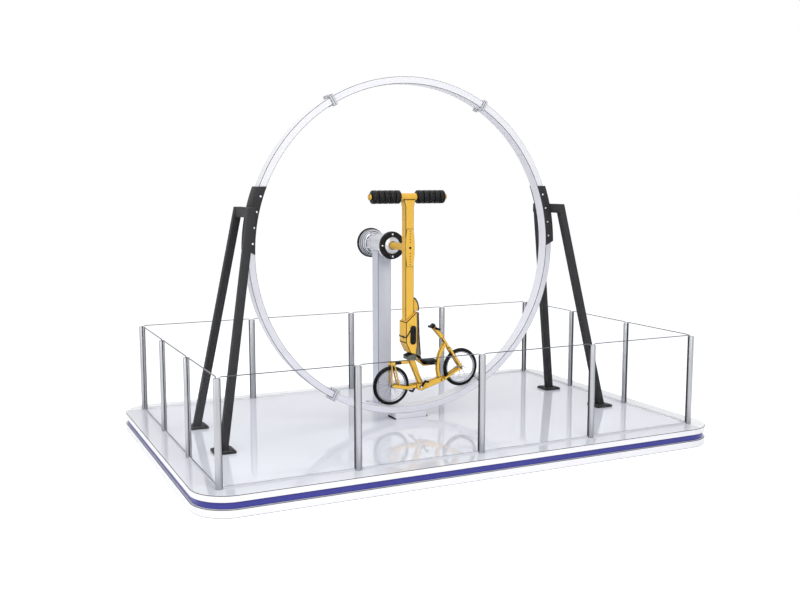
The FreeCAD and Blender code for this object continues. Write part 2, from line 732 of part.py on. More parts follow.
def main_frame(rear, front):
    half = MAIN_BEAM_W / 2.0
    bracket = track_at(*BRACKET)
    low_crown = polar(front, WHEEL_R + LOW_CROWN_GAP, LOW_CROWN_ANGLE)
    crown_x = rear[0] + REAR_CROWN_X
    bar_h = rear[1] + WHEEL_R + REAR_CROWN_GAP + REAR_BAR_R
    parts = [seat_tube(), plate(BRACKET_BLOCK, -SIDE_OUT, SIDE_OUT), plate(MAIN_BEAM, -half, half), bow()]
    parts.append(cross_rod(bracket, -SIDE_OUT, SIDE_OUT, BRACKET_R))
    parts.append(cross_rod(track_at(*low_crown), -SIDE_OUT, SIDE_OUT, CROWN_R))
    parts.append(rod(track_at(crown_x, bar_h), track_at(SEAT_TUBE[0][0] + SEAT_TUBE_W / 2.0, bar_h), REAR_BAR_R))
    body = fuse(parts)
    body = body.cut(seat_block_solid())
    return body.cut(cross_rod(bracket, -SIDE_OUT, SIDE_OUT, CRANK_AXLE_R + AXLE_PLAY))


def rear_frame(rear):
    crown_x = rear[0] + REAR_CROWN_X
    crown_h = rear[1] + WHEEL_R + REAR_CROWN_GAP
    half = REAR_CROWN_L / 2.0
    crown = plate([(crown_x - half, crown_h), (crown_x + half, crown_h), (crown_x + half, crown_h + REAR_CROWN_H),
                   (crown_x - half, crown_h + REAR_CROWN_H)], -SIDE_OUT, SIDE_OUT)
    top = crown_h + REAR_CROWN_H / 2.0
    parts = [crown] + stays(STAY_BEND, rear, STAY_H) + stays(STAY_END, STAY_BEND, STAY_H)
    parts += stays((crown_x - half / 2.0, top), rear, LEG_STRUT_H)
    parts += stays((crown_x + half / 2.0, top), (rear[0] + LEG_FRONT_X, rear[1]), LEG_STRUT_H)
    return fuse(parts)


def front_fork(front):
    crown = polar(front, WHEEL_R + FORK_CROWN_GAP, FORK_CROWN_ANGLE)
    parts = [bar(STEM_LOW, crown, NECK_H, -NECK_HALF_Y, NECK_HALF_Y)]
    parts.append(bar(STEM_TOP, STEM_LOW, STEM_T, -STEM_HALF_Y, STEM_HALF_Y))
    parts.append(cross_rod(track_at(*crown), -SIDE_OUT, SIDE_OUT, CROWN_R))
    return fuse(parts + stays(crown, front, BLADE_H))


def front_stays(front):
    low_crown = polar(front, WHEEL_R + LOW_CROWN_GAP, LOW_CROWN_ANGLE)
    return group(stays_joined(low_crown, front))


def stays_joined(a, b):
    parts = stays(a, b, BLADE_H)
    return [fuse(parts[:2]), fuse(parts[2:])]


# The handlebar's place, a little way down the stem
def handle_place():
    run = math.hypot(STEM_LOW[0] - STEM_TOP[0], STEM_LOW[1] - STEM_TOP[1])
    ux = (STEM_LOW[0] - STEM_TOP[0]) / run
    uz = (STEM_LOW[1] - STEM_TOP[1]) / run
    return (STEM_TOP[0] + ux * HANDLE_IN, STEM_TOP[1] + uz * HANDLE_IN), (ux, uz)


def bicycle():
    rear = wheel_centre(REAR_X)
    front = wheel_centre(FRONT_X)
    place, way = handle_place()
    handle = cross_rod(track_at(*place), -HANDLE_HALF, HANDLE_HALF, HANDLE_R)
    main = main_frame(rear, front)
    rear_axle = axle(rear)
    front_axle = axle(front)
    fork = front_fork(front).cut(main).cut(front_axle).cut(handle)
    eye = cross_rod(track_at(*front), -SIDE_OUT, SIDE_OUT, BLADE_H / 2.0)
    save("bike_main_frame", main)
    save("bike_rear_frame", rear_frame(rear).cut(main).cut(rear_axle))
    save("bike_front_fork", fork)
    save("bike_front_stays", front_stays(front).cut(fork).cut(main).cut(eye))
    cap_end = (STEM_TOP[0] - way[0] * CAP_T, STEM_TOP[1] - way[1] * CAP_T)
    save("stem_cap", bar(STEM_TOP, cap_end, CAP_H, -CAP_HALF_Y, CAP_HALF_Y))
    save("handlebar", handle)
    grip = tube_y(track_at(*place), HANDLE_HALF - GRIP_L, HANDLE_HALF, GRIP_R, HANDLE_R)
    save("grips", group(both_sides(grip)))
    wheels(rear, front)


# Crank set with its two pedals
def crank():
    arm_y = SIDE_OUT + NUT_T + MOVING_GAP
    outer = arm_y + CRANK_T
    centre = track_at(*BRACKET)
    parts = [cross_rod(centre, -outer, outer, CRANK_AXLE_R)]
    pedals = []
    for side in (-1, 1):
        reach = -side * CRANK_L
        tip = polar(BRACKET, reach, CRANK_ANGLE)
        lo, hi = sorted((side * arm_y, side * outer))
        parts.append(bar(BRACKET, tip, CRANK_W, lo, hi))
        parts.append(cross_rod(track_at(*tip), lo, hi, CRANK_W / 2.0))
        lo, hi = sorted((side * outer, side * (outer + MOVING_GAP + PEDAL_L)))
        parts.append(cross_rod(track_at(*tip), lo, hi, PEDAL_PIN_R))
        lo, hi = sorted((side * (outer + MOVING_GAP), side * (outer + MOVING_GAP + PEDAL_L)))
        tread = bar((tip[0] - PEDAL_W / 2.0, tip[1]), (tip[0] + PEDAL_W / 2.0, tip[1]), PEDAL_T, lo, hi)
        pedals.append(tread.cut(cross_rod(track_at(*tip), lo, hi, PEDAL_PIN_R + PEDAL_PLAY)))
    save("crank_set", fuse(parts))
    save("pedals", group(pedals))


platform()
fence()
ring()
stands()
column()
hub()
arm()
seat_housing()
seat()
head_rest()
bicycle()
crank()
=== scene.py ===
import json
import math

import bmesh
import bpy
from mathutils import Matrix, Vector

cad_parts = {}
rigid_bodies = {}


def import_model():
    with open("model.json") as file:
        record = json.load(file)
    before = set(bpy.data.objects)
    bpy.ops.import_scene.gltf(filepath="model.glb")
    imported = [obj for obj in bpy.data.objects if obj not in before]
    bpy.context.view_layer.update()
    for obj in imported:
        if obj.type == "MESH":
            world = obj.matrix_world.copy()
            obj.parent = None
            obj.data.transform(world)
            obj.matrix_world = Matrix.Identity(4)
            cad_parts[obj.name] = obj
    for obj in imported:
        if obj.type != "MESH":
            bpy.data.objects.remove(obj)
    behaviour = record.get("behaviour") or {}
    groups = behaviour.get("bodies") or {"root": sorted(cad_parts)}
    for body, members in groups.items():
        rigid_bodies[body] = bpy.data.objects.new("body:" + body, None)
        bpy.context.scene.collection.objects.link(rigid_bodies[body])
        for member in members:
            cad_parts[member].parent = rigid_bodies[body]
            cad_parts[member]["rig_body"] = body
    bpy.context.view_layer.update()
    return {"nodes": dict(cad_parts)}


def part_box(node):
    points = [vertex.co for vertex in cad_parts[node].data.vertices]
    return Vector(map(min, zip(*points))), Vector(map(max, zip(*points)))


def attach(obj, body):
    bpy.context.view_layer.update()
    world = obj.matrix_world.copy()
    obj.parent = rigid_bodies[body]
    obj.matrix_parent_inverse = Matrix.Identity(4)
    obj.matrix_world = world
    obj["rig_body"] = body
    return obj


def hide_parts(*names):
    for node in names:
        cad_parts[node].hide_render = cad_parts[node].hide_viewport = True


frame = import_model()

# Levels and sizes that the frame has, in metres
RING_Z = 2.393
RING_IN = 2.016
RING_OUT = 2.100
FACE_Y = 0.088
TRACK_Z = 0.377
DECK_Z = 0.226
POST_R = 0.035
POST_TOP = 1.329
WHEEL_LINE = 1.761
JOINT_ANGLES = (60, 120, 240, 300)

# Differences that are left out of account: merged points, levels, round edges, the ring's radii
MERGE = 0.00002
LEVEL = 0.0005
ROUND = 0.001
ON_RING = 0.0015

# Flanges: half thickness in the frame, how far they are built up, and where they end
FLANGE_T = 0.012
FLANGE_RISE = 0.014
FLANGE_GROWTH = 0.016
FLANGE_REACH = 0.035

# The strip along the glass's top edge, and the cloth step that swells the pads
EDGE_STRIP = 0.008
PAD_PRESSURE = 4.0
CLOTH_STEPS = 20


def wheel_place(x):
    return (x, 0.0, RING_Z - math.sqrt(WHEEL_LINE ** 2 - x ** 2))


REAR_WHEEL = wheel_place(-0.237)
FRONT_WHEEL = wheel_place(0.764)


# Selecting and shaping by hand
def let_go():
    if bpy.context.object and bpy.context.object.mode != "OBJECT":
        bpy.ops.object.mode_set(mode="OBJECT")
    bpy.ops.object.select_all(action="DESELECT")


def take(piece):
    let_go()
    piece.select_set(True)
    bpy.context.view_layer.objects.active = piece


def open_mesh(piece):
    take(piece)
    bpy.ops.object.mode_set(mode="EDIT")
    bpy.ops.mesh.select_mode(type="FACE")
    bpy.ops.mesh.select_all(action="DESELECT")


def open_whole(piece):
    open_mesh(piece)
    bpy.ops.mesh.select_all(action="SELECT")


def close_mesh():
    bpy.ops.object.mode_set(mode="OBJECT")


def pick_faces(piece, test):
    open_mesh(piece)
    mesh = bmesh.from_edit_mesh(piece.data)
    for face in mesh.faces:
        face.select_set(bool(test(face.calc_center_median(), face.normal)))
    bmesh.update_edit_mesh(piece.data)


def pick_edges(piece, test):
    open_mesh(piece)
    bpy.ops.mesh.select_mode(type="EDGE")
    mesh = bmesh.from_edit_mesh(piece.data)
    for edge in mesh.edges:
        edge.select_set(bool(test(edge.verts[0].co, edge.verts[1].co)))
    bmesh.update_edit_mesh(piece.data)


def mend(piece, gap=MERGE):
    open_whole(piece)
    bpy.ops.mesh.remove_doubles(threshold=gap)
    bpy.ops.mesh.normals_make_consistent(inside=False)
    close_mesh()


# A level cut right through a piece
def cut_level(piece, z):
    open_whole(piece)
    bpy.ops.mesh.bisect(plane_co=(0, 0, z), plane_no=(0, 0, 1))
    close_mesh()


def settle(piece):
    take(piece)
    bpy.ops.object.transform_apply(location=True, rotation=True, scale=True)


def soften(piece, width, segments=2, angle=35.0, line=-1, free=False):
    take(piece)
    bevel = piece.modifiers.new("soft_edges", "BEVEL")
    bevel.width = width
    bevel.segments = segments
    bevel.limit_method = "ANGLE"
    bevel.angle_limit = math.radians(angle)
    bevel.use_clamp_overlap = not free
    bevel.material = line
    bpy.ops.object.modifier_apply(modifier=bevel.name)


def smooth(piece, angle=35.0):
    take(piece)
    bpy.ops.object.shade_smooth_by_angle(angle=math.radians(angle))


def paint(piece, *finishes):
    piece.data.materials.clear()
    for finish in finishes:
        piece.data.materials.append(finish)
    return piece


# Another finish for the faces that now have the finish at one place in the list and meet a test
def repaint(piece, finish, test, now=0):
    piece.data.materials.append(finish)
    index = len(piece.data.materials) - 1
    for face in piece.data.polygons:
        if face.material_index == now and test(face.center, face.normal):
            face.material_index = index


def named(name):
    piece = bpy.context.object
    piece.name = name
    piece.data.name = name
    return piece


def drop(piece):
    bpy.data.objects.remove(piece, do_unlink=True)


# The turn that points a piece's Z axis along a direction
def facing(way):
    return Vector(way).to_track_quat("Z", "Y").to_matrix().to_4x4()


def looks_up(centre, normal):
    return normal.z > 0.9


def from_hub(point):
    return math.hypot(point.x, point.z - RING_Z)


def on_ring(radius, angle, y):
    a = math.radians(angle)
    return (radius * math.cos(a), y, RING_Z + radius * math.sin(a))


# Starts of new pieces
def start_box(name, low, high):
    let_go()
    middle = [(a + b) / 2 for a, b in zip(low, high)]
    bpy.ops.mesh.primitive_cube_add(size=1.0, location=middle)
    piece = named(name)
    piece.scale = [b - a for a, b in zip(low, high)]
    settle(piece)
    return piece


def start_rod(name, start, end, radius, sides=32):
    let_go()
    a, b = Vector(start), Vector(end)
    turn = (b - a).to_track_quat("Z", "Y").to_euler()
    bpy.ops.mesh.primitive_cylinder_add(vertices=sides, radius=radius, depth=(b - a).length,
                                        location=(a + b) / 2, rotation=turn)
    piece = named(name)
    settle(piece)
    return piece


# A closed outline of (radius, along) points spun round an axis
def turned(name, outline, centre, axis, steps=64):
    let_go()
    bpy.ops.mesh.primitive_circle_add(vertices=len(outline), radius=1.0, fill_type="NOTHING")
    piece = named(name)
    for vertex, (radius, along) in zip(piece.data.vertices, outline):
        vertex.co = (radius, 0.0, along)
    open_whole(piece)
    bpy.ops.mesh.spin(steps=steps, angle=math.tau, center=(0, 0, 0), axis=(0, 0, 1))
    close_mesh()
    mend(piece, MERGE / 2)
    piece.data.transform(Matrix.Translation(Vector(centre)) @ facing(axis))
    return piece


# A flat outline of (x, z) points given a depth along Y
def slab(name, outline, y0, y1):
    let_go()
    bpy.ops.mesh.primitive_circle_add(vertices=len(outline), radius=1.0, fill_type="NGON")
    piece = named(name)
    for vertex, (x, z) in zip(piece.data.vertices, outline):
        vertex.co = (x, y0, z)
    open_whole(piece)
    bpy.ops.mesh.extrude_region_move(TRANSFORM_OT_translate={"value": (0, y1 - y0, 0)})
    bpy.ops.mesh.select_all(action="SELECT")
    bpy.ops.mesh.normals_make_consistent(inside=False)
    close_mesh()
    return piece


def join(pieces, name):
    let_go()
    for piece in pieces:
        piece.select_set(True)
    bpy.context.view_layer.objects.active = pieces[0]
    if len(pieces) > 1:
        bpy.ops.object.join()
    return named(name)


def copy_of(piece, name, place=Matrix.Identity(4)):
    twin = bpy.data.objects.new(name, piece.data.copy())
    bpy.context.scene.collection.objects.link(twin)
    twin.data.transform(place)
    return twin


# One pattern set down at many places, each (point, outward direction, size)
def spread(pattern, places, name):
    copies = []
    for index, (point, way, size) in enumerate(places):
        place = Matrix.Translation(Vector(point)) @ facing(way) @ Matrix.Scale(size, 4)
        copies.append(copy_of(pattern, f"{name}_{index}", place))
    return join(copies, name)


# Chosen edges cut back to a narrow strip in the piece's second finish
def shade_lines(piece, width, chosen):
    pick_edges(piece, chosen)
    bpy.ops.mesh.bevel(offset=width, segments=1, affect="EDGES", clamp_overlap=False, material=1)
    close_mesh()


def fit(piece, body, slot, *nodes):
    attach(piece, body)
    if nodes:
        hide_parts(*nodes)
    return piece


def complete(piece, finish, body, slot, *nodes, angle=35.0):
    smooth(piece, angle)
    paint(piece, finish)
    return fit(piece, body, slot, *nodes)


def set_bolts(pattern, places, name, body, finish=None, slot="stainless"):
    bolts = spread(pattern, places, name)
    if finish:
        paint(bolts, finish)
    fit(bolts, body, slot)


# A close copy of a frame node with softened edges, which stands for that node
def dress(node, name, slot, finish, line=None, width=0.003, segments=2, angle=35.0,
          before=None, free=False):
    source = frame["nodes"][node]
    piece = copy_of(source, name)
    paint(piece, finish, *([line] if line else []))
    for face in piece.data.polygons:
        face.material_index = 0
    open_whole(piece)
    bpy.ops.mesh.remove_doubles(threshold=MERGE)
    bpy.ops.mesh.dissolve_limited(angle_limit=math.radians(0.6))
    bpy.ops.mesh.normals_make_consistent(inside=False)
    close_mesh()
    if before:
        before(piece)
    if width:
        soften(piece, width, segments, angle, 1 if line else -1, free)
    smooth(piece)
    return fit(piece, source["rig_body"], slot, node)


# Node groups for effects that several finishes share
def new_group(name, inputs, outputs):
    group = bpy.data.node_groups.new(name, "ShaderNodeTree")
    for label, value in {"Vector": (0, 0, 0), **inputs}.items():
        kind = "NodeSocketVector" if isinstance(value, tuple) else "NodeSocketFloat"
        socket = group.interface.new_socket(name=label, in_out="INPUT", socket_type=kind)
        socket.default_value = value
    for label in outputs:
        group.interface.new_socket(name=label, in_out="OUTPUT", socket_type="NodeSocketFloat")
    return group, group.nodes.new("NodeGroupInput"), group.nodes.new("NodeGroupOutput")


def add_math(tree, kind, a, b=None):
    node = tree.nodes.new("ShaderNodeMath")
    node.operation = kind
    for slot, value in ((0, a), (1, b)):
        if value is None:
            continue
        if isinstance(value, (int, float)):
            node.inputs[slot].default_value = value
        else:
            tree.links.new(value, node.inputs[slot])
    return node.outputs[0]


# Fine bumps with a slow drift, as on sprayed or moulded surfaces
def make_grain_group():
    group, given, out = new_group("surface_grain", {"Fine": 400.0, "Broad": 3.0},
                                  ("Height", "Drift"))
    fine = group.nodes.new("ShaderNodeTexNoise")
    broad = group.nodes.new("ShaderNodeTexNoise")
    fine.inputs["Detail"].default_value = 3.0
    broad.inputs["Detail"].default_value = 2.0
    for node, label in ((fine, "Fine"), (broad, "Broad")):
        group.links.new(given.outputs["Vector"], node.inputs["Vector"])
        group.links.new(given.outputs[label], node.inputs["Scale"])
    group.links.new(fine.outputs["Fac"], out.inputs["Height"])
    group.links.new(broad.outputs["Fac"], out.inputs["Drift"])
    return group


# Long thin scratches along one direction
def make_brushed_group():
    group, given, out = new_group("brushed_lines", {"Stretch": (300, 300, 4)}, ("Height", "Tone"))
    scale = group.nodes.new("ShaderNodeVectorMath")
    scale.operation = "MULTIPLY"
    group.links.new(given.outputs["Vector"], scale.inputs[0])
    group.links.new(given.outputs["Stretch"], scale.inputs[1])
    noise = group.nodes.new("ShaderNodeTexNoise")
    noise.inputs["Scale"].default_value = 1.0
    noise.inputs["Detail"].default_value = 4.0
    group.links.new(scale.outputs[0], noise.inputs["Vector"])
    group.links.new(noise.outputs["Fac"], out.inputs["Height"])
    tone = group.nodes.new("ShaderNodeMapRange")
    tone.inputs["From Min"].default_value = 0.3
    tone.inputs["From Max"].default_value = 0.7
    group.links.new(noise.outputs["Fac"], tone.inputs["Value"])
    group.links.new(tone.outputs[0], out.inputs["Tone"])
    return group


# Dust that settles on faces that look up, in soft patches
def make_dust_group():
    group, given, out = new_group("settled_dust", {"Scale": 6.0, "Amount": 0.3}, ("Mask",))
    normal = group.nodes.new("ShaderNodeNewGeometry")
    parts = group.nodes.new("ShaderNodeSeparateXYZ")
    group.links.new(normal.outputs["Normal"], parts.inputs[0])
    up = add_math(group, "MAXIMUM", parts.outputs["Z"], 0.0)
    noise = group.nodes.new("ShaderNodeTexNoise")
    noise.inputs["Detail"].default_value = 5.0
    group.links.new(given.outputs["Vector"], noise.inputs["Vector"])
    group.links.new(given.outputs["Scale"], noise.inputs["Scale"])
    patch = add_math(group, "MULTIPLY", up, noise.outputs["Fac"])
    mask = add_math(group, "MULTIPLY", patch, given.outputs["Amount"])
    group.links.new(mask, out.inputs["Mask"])
    return group


# Pebbled cells with soft valleys, as on leather and moulded rubber
def make_pebble_group():
    group, given, out = new_group("pebbled_skin", {"Scale": 300.0}, ("Height", "Crease"))
    cells = group.nodes.new("ShaderNodeTexVoronoi")
    cells.feature = "DISTANCE_TO_EDGE"
    group.links.new(given.outputs["Vector"], cells.inputs["Vector"])
    group.links.new(given.outputs["Scale"], cells.inputs["Scale"])
    ramp = group.nodes.new("ShaderNodeMapRange")
    ramp.inputs["From Max"].default_value = 0.25
    group.links.new(cells.outputs["Distance"], ramp.inputs["Value"])
    group.links.new(ramp.outputs[0], out.inputs["Height"])
    group.links.new(add_math(group, "SUBTRACT", 1.0, ramp.outputs[0]), out.inputs["Crease"])
    return group


GRAIN = make_grain_group()
BRUSHED = make_brushed_group()
DUST = make_dust_group()
PEBBLE = make_pebble_group()


def new_finish(name):
    finish = bpy.data.materials.new(name)
    finish.use_nodes = True
    tree = finish.node_tree
    shader = tree.nodes["Principled BSDF"]
    where = tree.nodes.new("ShaderNodeTexCoord").outputs["Object"]
    return finish, tree, shader, where


def place_group(tree, group, where, **values):
    node = tree.nodes.new("ShaderNodeGroup")
    node.node_tree = group
    tree.links.new(where, node.inputs["Vector"])
    for label, value in values.items():
        node.inputs[label].default_value = value
    return node


def add_bump(tree, shader, height, strength, distance):
    bump = tree.nodes.new("ShaderNodeBump")
    bump.inputs["Strength"].default_value = strength
    bump.inputs["Distance"].default_value = distance
    tree.links.new(height, bump.inputs["Height"])
    tree.links.new(bump.outputs["Normal"], shader.inputs["Normal"])


def mix_colours(tree, mask, first, second):
    mix = tree.nodes.new("ShaderNodeMix")
    mix.data_type = "RGBA"
    tree.links.new(mask, mix.inputs[0])
    for slot, value in ((6, first), (7, second)):
        if isinstance(value, tuple):
            mix.inputs[slot].default_value = (*value, 1.0)
        else:
            tree.links.new(value, mix.inputs[slot])
    return mix.outputs[2]


def spread_value(tree, mask, low, high):
    node = tree.nodes.new("ShaderNodeMapRange")
    node.inputs["To Min"].default_value = low
    node.inputs["To Max"].default_value = high
    tree.links.new(mask, node.inputs["Value"])
    return node.outputs[0]


# Sprayed paint: a slow change of tone, fine orange peel, a little dust on top
def sprayed_paint(name, colour, deeper, rough, fine=260.0, peel=0.08, coat=0.15, dust=0.12,
                  shine=0.4):
    finish, tree, shader, where = new_finish(name)
    grain = place_group(tree, GRAIN, where, Fine=fine, Broad=2.2)
    settled = place_group(tree, DUST, where, Amount=dust)
    drift = grain.outputs["Drift"]
    tone = mix_colours(tree, drift, deeper, colour)
    tone = mix_colours(tree, settled.outputs["Mask"], tone, (0.62, 0.62, 0.60))
    tree.links.new(tone, shader.inputs["Base Color"])
    tree.links.new(spread_value(tree, drift, rough * 0.8, rough * 1.25), shader.inputs["Roughness"])
    add_bump(tree, shader, grain.outputs["Height"], strength=peel, distance=0.0006)
    shader.inputs["Coat Weight"].default_value = coat
    shader.inputs["Coat Roughness"].default_value = 0.12
    shader.inputs["Specular IOR Level"].default_value = shine
    return finish


# Narrow edge lines: a flat dark paint without dust
def line_paint(name, colour, deeper, rough=0.6, shine=0.1):
    return sprayed_paint(name, colour, deeper, rough, dust=0.0, shine=shine)


# Bare metal with fine brush lines
def brushed_metal(name, colour, darker, rough, stretch=(300, 300, 5), depth=0.15):
    finish, tree, shader, where = new_finish(name)
    lines = place_group(tree, BRUSHED, where, Stretch=stretch)
    tone = lines.outputs["Tone"]
    tree.links.new(mix_colours(tree, tone, darker, colour), shader.inputs["Base Color"])
    tree.links.new(spread_value(tree, tone, rough * 0.7, rough * 1.3), shader.inputs["Roughness"])
    add_bump(tree, shader, lines.outputs["Height"], strength=depth, distance=0.0003)
    shader.inputs["Metallic"].default_value = 1.0
    return finish


# Leather, rubber and webbing: pebbled skin with darker creases and a little dust
def moulded(name, colour, crease, rough, scale, depth, sheen=0.0, shine=0.22):
    finish, tree, shader, where = new_finish(name)
    skin = place_group(tree, PEBBLE, where, Scale=scale)
    settled = place_group(tree, DUST, where, Amount=0.1)
    creased = skin.outputs["Crease"]
    tone = mix_colours(tree, creased, colour, crease)
    tone = mix_colours(tree, settled.outputs["Mask"], tone, (0.3, 0.3, 0.29))
    tree.links.new(tone, shader.inputs["Base Color"])
    tree.links.new(spread_value(tree, creased, rough, min(1.0, rough * 1.3)),
                   shader.inputs["Roughness"])
    add_bump(tree, shader, skin.outputs["Height"], strength=depth, distance=0.0005)
    shader.inputs["Sheen Weight"].default_value = sheen
    shader.inputs["Specular IOR Level"].default_value = shine
    return finish


# Clear panels with faint smears and an almost neutral tint
def make_glass():
    finish, tree, shader, where = new_finish("clear_panel_glass")
    smears = place_group(tree, GRAIN, where, Fine=30.0, Broad=1.5)
    tree.links.new(spread_value(tree, smears.outputs["Drift"], 0.0, 0.02),
                   shader.inputs["Roughness"])
    shader.inputs["Base Color"].default_value = (0.983, 0.986, 0.992, 1.0)
    shader.inputs["Transmission Weight"].default_value = 1.0
    shader.inputs["IOR"].default_value = 1.01
    return finish


# Gloss white board with a soft mirror and faint wipe marks, and painted light: whiter behind and
# right of the fence, to lift that strip to the deck's brightness
def make_deck_finish():
    finish, tree, shader, where = new_finish("gloss_white_deck")
    marks = place_group(tree, GRAIN, where, Fine=90.0, Broad=0.8)
    drift = marks.outputs["Drift"]
    tone = mix_colours(tree, drift, (0.68, 0.695, 0.755), (0.72, 0.735, 0.79))
    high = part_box("fence_posts")[1]
    parts = tree.nodes.new("ShaderNodeSeparateXYZ")
    tree.links.new(where, parts.inputs[0])
    behind = add_math(tree, "GREATER_THAN", parts.outputs["Y"], high.y - POST_R)
    beside = add_math(tree, "GREATER_THAN", parts.outputs["X"], high.x - POST_R)
    rim = add_math(tree, "MAXIMUM", behind, beside)
    # Painted light: the strip behind and right of the fence is made whiter to brighten it
    tone = mix_colours(tree, rim, tone, (0.95, 0.95, 0.96))
    tree.links.new(tone, shader.inputs["Base Color"])
    tree.links.new(spread_value(tree, drift, 0.02, 0.06), shader.inputs["Roughness"])
    add_bump(tree, shader, marks.outputs["Height"], strength=0.01, distance=0.0005)
    shader.inputs["IOR"].default_value = 1.55
    return finish


WHITE = sprayed_paint("ring_white_paint", (0.78, 0.78, 0.815), (0.76, 0.76, 0.795), 0.35, shine=0.3)
# Painted light and shade: a copy of the ring white for the ring's inward faces, toned for how light
# falls on them
INNER_SHADING_WHITE = sprayed_paint("ring_inner_painted_shading", (0.77, 0.77, 0.82), (0.74, 0.74, 0.80), 0.35,
                            shine=0.3)
# Painted shade: a darker copy of the ring white for the ring's lower half
LOWER_HALF_SHADE_WHITE = sprayed_paint("ring_shaded_white", (0.67, 0.67, 0.72), (0.64, 0.64, 0.69), 0.35,
                          shine=0.3)
CLAMP_GREY = sprayed_paint("clamp_grey_paint", (0.56, 0.57, 0.61), (0.53, 0.54, 0.58), 0.4,
                           shine=0.3)
PANEL = sprayed_paint("platform_side_white", (0.92, 0.92, 0.94), (0.89, 0.89, 0.92), 0.25)
DECK = make_deck_finish()
LINE = line_paint("dark_edge_line", (0.028, 0.028, 0.033), (0.022, 0.022, 0.027))
FINE_LINE = line_paint("grey_edge_line", (0.11, 0.11, 0.13), (0.09, 0.09, 0.11))
PALE_LINE = line_paint("pale_edge_line", (0.42, 0.42, 0.46), (0.39, 0.39, 0.43))
BLUE = sprayed_paint("deep_blue_band", (0.054, 0.056, 0.32), (0.042, 0.044, 0.27), 0.35, shine=0.2)
CHARCOAL = sprayed_paint("charcoal_powder_coat", (0.038, 0.038, 0.040), (0.030, 0.030, 0.032), 0.6,
                         fine=700.0, peel=0.25, coat=0.0, dust=0.03, shine=0.12)
COLUMN_PAINT = sprayed_paint("column_grey_paint", (0.60, 0.62, 0.69), (0.56, 0.58, 0.65), 0.45,
                             shine=0.3)
YELLOW = sprayed_paint("golden_yellow_paint", (0.775, 0.465, 0.068), (0.73, 0.43, 0.060), 0.35,
                       coat=0.05, dust=0.02, shine=0.15)
YELLOW_LINE = line_paint("dark_seam_shade", (0.014, 0.009, 0.005), (0.010, 0.006, 0.003))
BLACK = sprayed_paint("black_enamel", (0.011, 0.011, 0.012), (0.007, 0.007, 0.008), 0.45,
                      fine=500.0, peel=0.2, coat=0.03, dust=0.03, shine=0.14)
TRAY_BLACK = sprayed_paint("tray_black", (0.008, 0.008, 0.009), (0.006, 0.006, 0.007), 0.6,
                           fine=500.0, peel=0.2, coat=0.0, dust=0.0, shine=0.08)
DARK_GREY = sprayed_paint("grey_block_paint", (0.115, 0.125, 0.10), (0.09, 0.10, 0.08), 0.5,
                          shine=0.25)
SHELL_GREY = sprayed_paint("shell_grey_paint", (0.50, 0.475, 0.415), (0.45, 0.425, 0.37), 0.4)
SHOE_WHITE = sprayed_paint("shoe_white_paint", (0.66, 0.665, 0.715), (0.63, 0.635, 0.685), 0.4,
                           shine=0.3)
SEAT_SEAL = sprayed_paint("pale_glass_seat", (0.74, 0.75, 0.79), (0.70, 0.71, 0.75), 0.45,
                          shine=0.3)
STEEL = brushed_metal("brushed_stainless", (0.485, 0.495, 0.52), (0.39, 0.40, 0.42), 0.42,
                      depth=0.06)
ALLOY = brushed_metal("turned_alloy", (0.63, 0.64, 0.68), (0.57, 0.58, 0.62), 0.44,
                      stretch=(40, 500, 40), depth=0.03)
ZINC = brushed_metal("bright_zinc_bolts", (0.86, 0.87, 0.90), (0.74, 0.75, 0.78), 0.3,
                     stretch=(300, 300, 300))
RIM = brushed_metal("polished_rim", (0.34, 0.35, 0.38), (0.24, 0.25, 0.28), 0.28,
                    stretch=(200, 200, 200))
LEATHER = moulded("black_leather", (0.010, 0.010, 0.012), (0.005, 0.005, 0.006), 0.5,
                  scale=420.0, depth=0.35, sheen=0.02, shine=0.14)
RUBBER = moulded("tyre_rubber", (0.009, 0.009, 0.010), (0.005, 0.005, 0.005), 0.75,
                 scale=600.0, depth=0.3, shine=0.12)
GRIP = moulded("grip_rubber", (0.010, 0.010, 0.011), (0.005, 0.005, 0.005), 0.65,
               scale=500.0, depth=0.5, shine=0.12)
SEAL = moulded("glazing_seal_rubber", (0.050, 0.050, 0.053), (0.035, 0.035, 0.038), 0.7,
               scale=500.0, depth=0.3, shine=0.12)
WEBBING = moulded("woven_webbing", (0.016, 0.015, 0.014), (0.007, 0.007, 0.006), 0.8,
                  scale=700.0, depth=0.7, sheen=0.05, shine=0.12)
GLASS = make_glass()
GLASS_EDGE = line_paint("polished_glass_edge", (0.09, 0.10, 0.11), (0.07, 0.08, 0.09), 0.3, 0.2)


# Camera where the photo was taken from
def set_camera():
    camera = bpy.data.objects.new("camera", bpy.data.cameras.new("camera"))
    bpy.context.scene.collection.objects.link(camera)
    camera.data.sensor_width = 36.0
    camera.data.lens = 43.27
    camera.data.clip_end = 200.0
    camera.location = (-5.323, -10.852, 3.215)
    down, aside = 7.01, -25.66
    camera.rotation_euler = (math.radians(90.0 - down), 0.0, math.radians(aside))
    bpy.context.scene.camera = camera


# One for rays that look straight, in a mirror or through glass, and nothing for the rest
def looked_at(tree):
    path = tree.nodes.new("ShaderNodeLightPath")
    rays = add_math(tree, "MAXIMUM", path.outputs["Is Camera Ray"], path.outputs["Is Glossy Ray"])
    return add_math(tree, "MAXIMUM", rays, path.outputs["Is Transmission Ray"])


def add_background(tree, colour, strength):
    node = tree.nodes.new("ShaderNodeBackground")
    node.inputs["Color"].default_value = (*colour, 1)
    node.inputs["Strength"].default_value = strength
    return node.outputs[0]


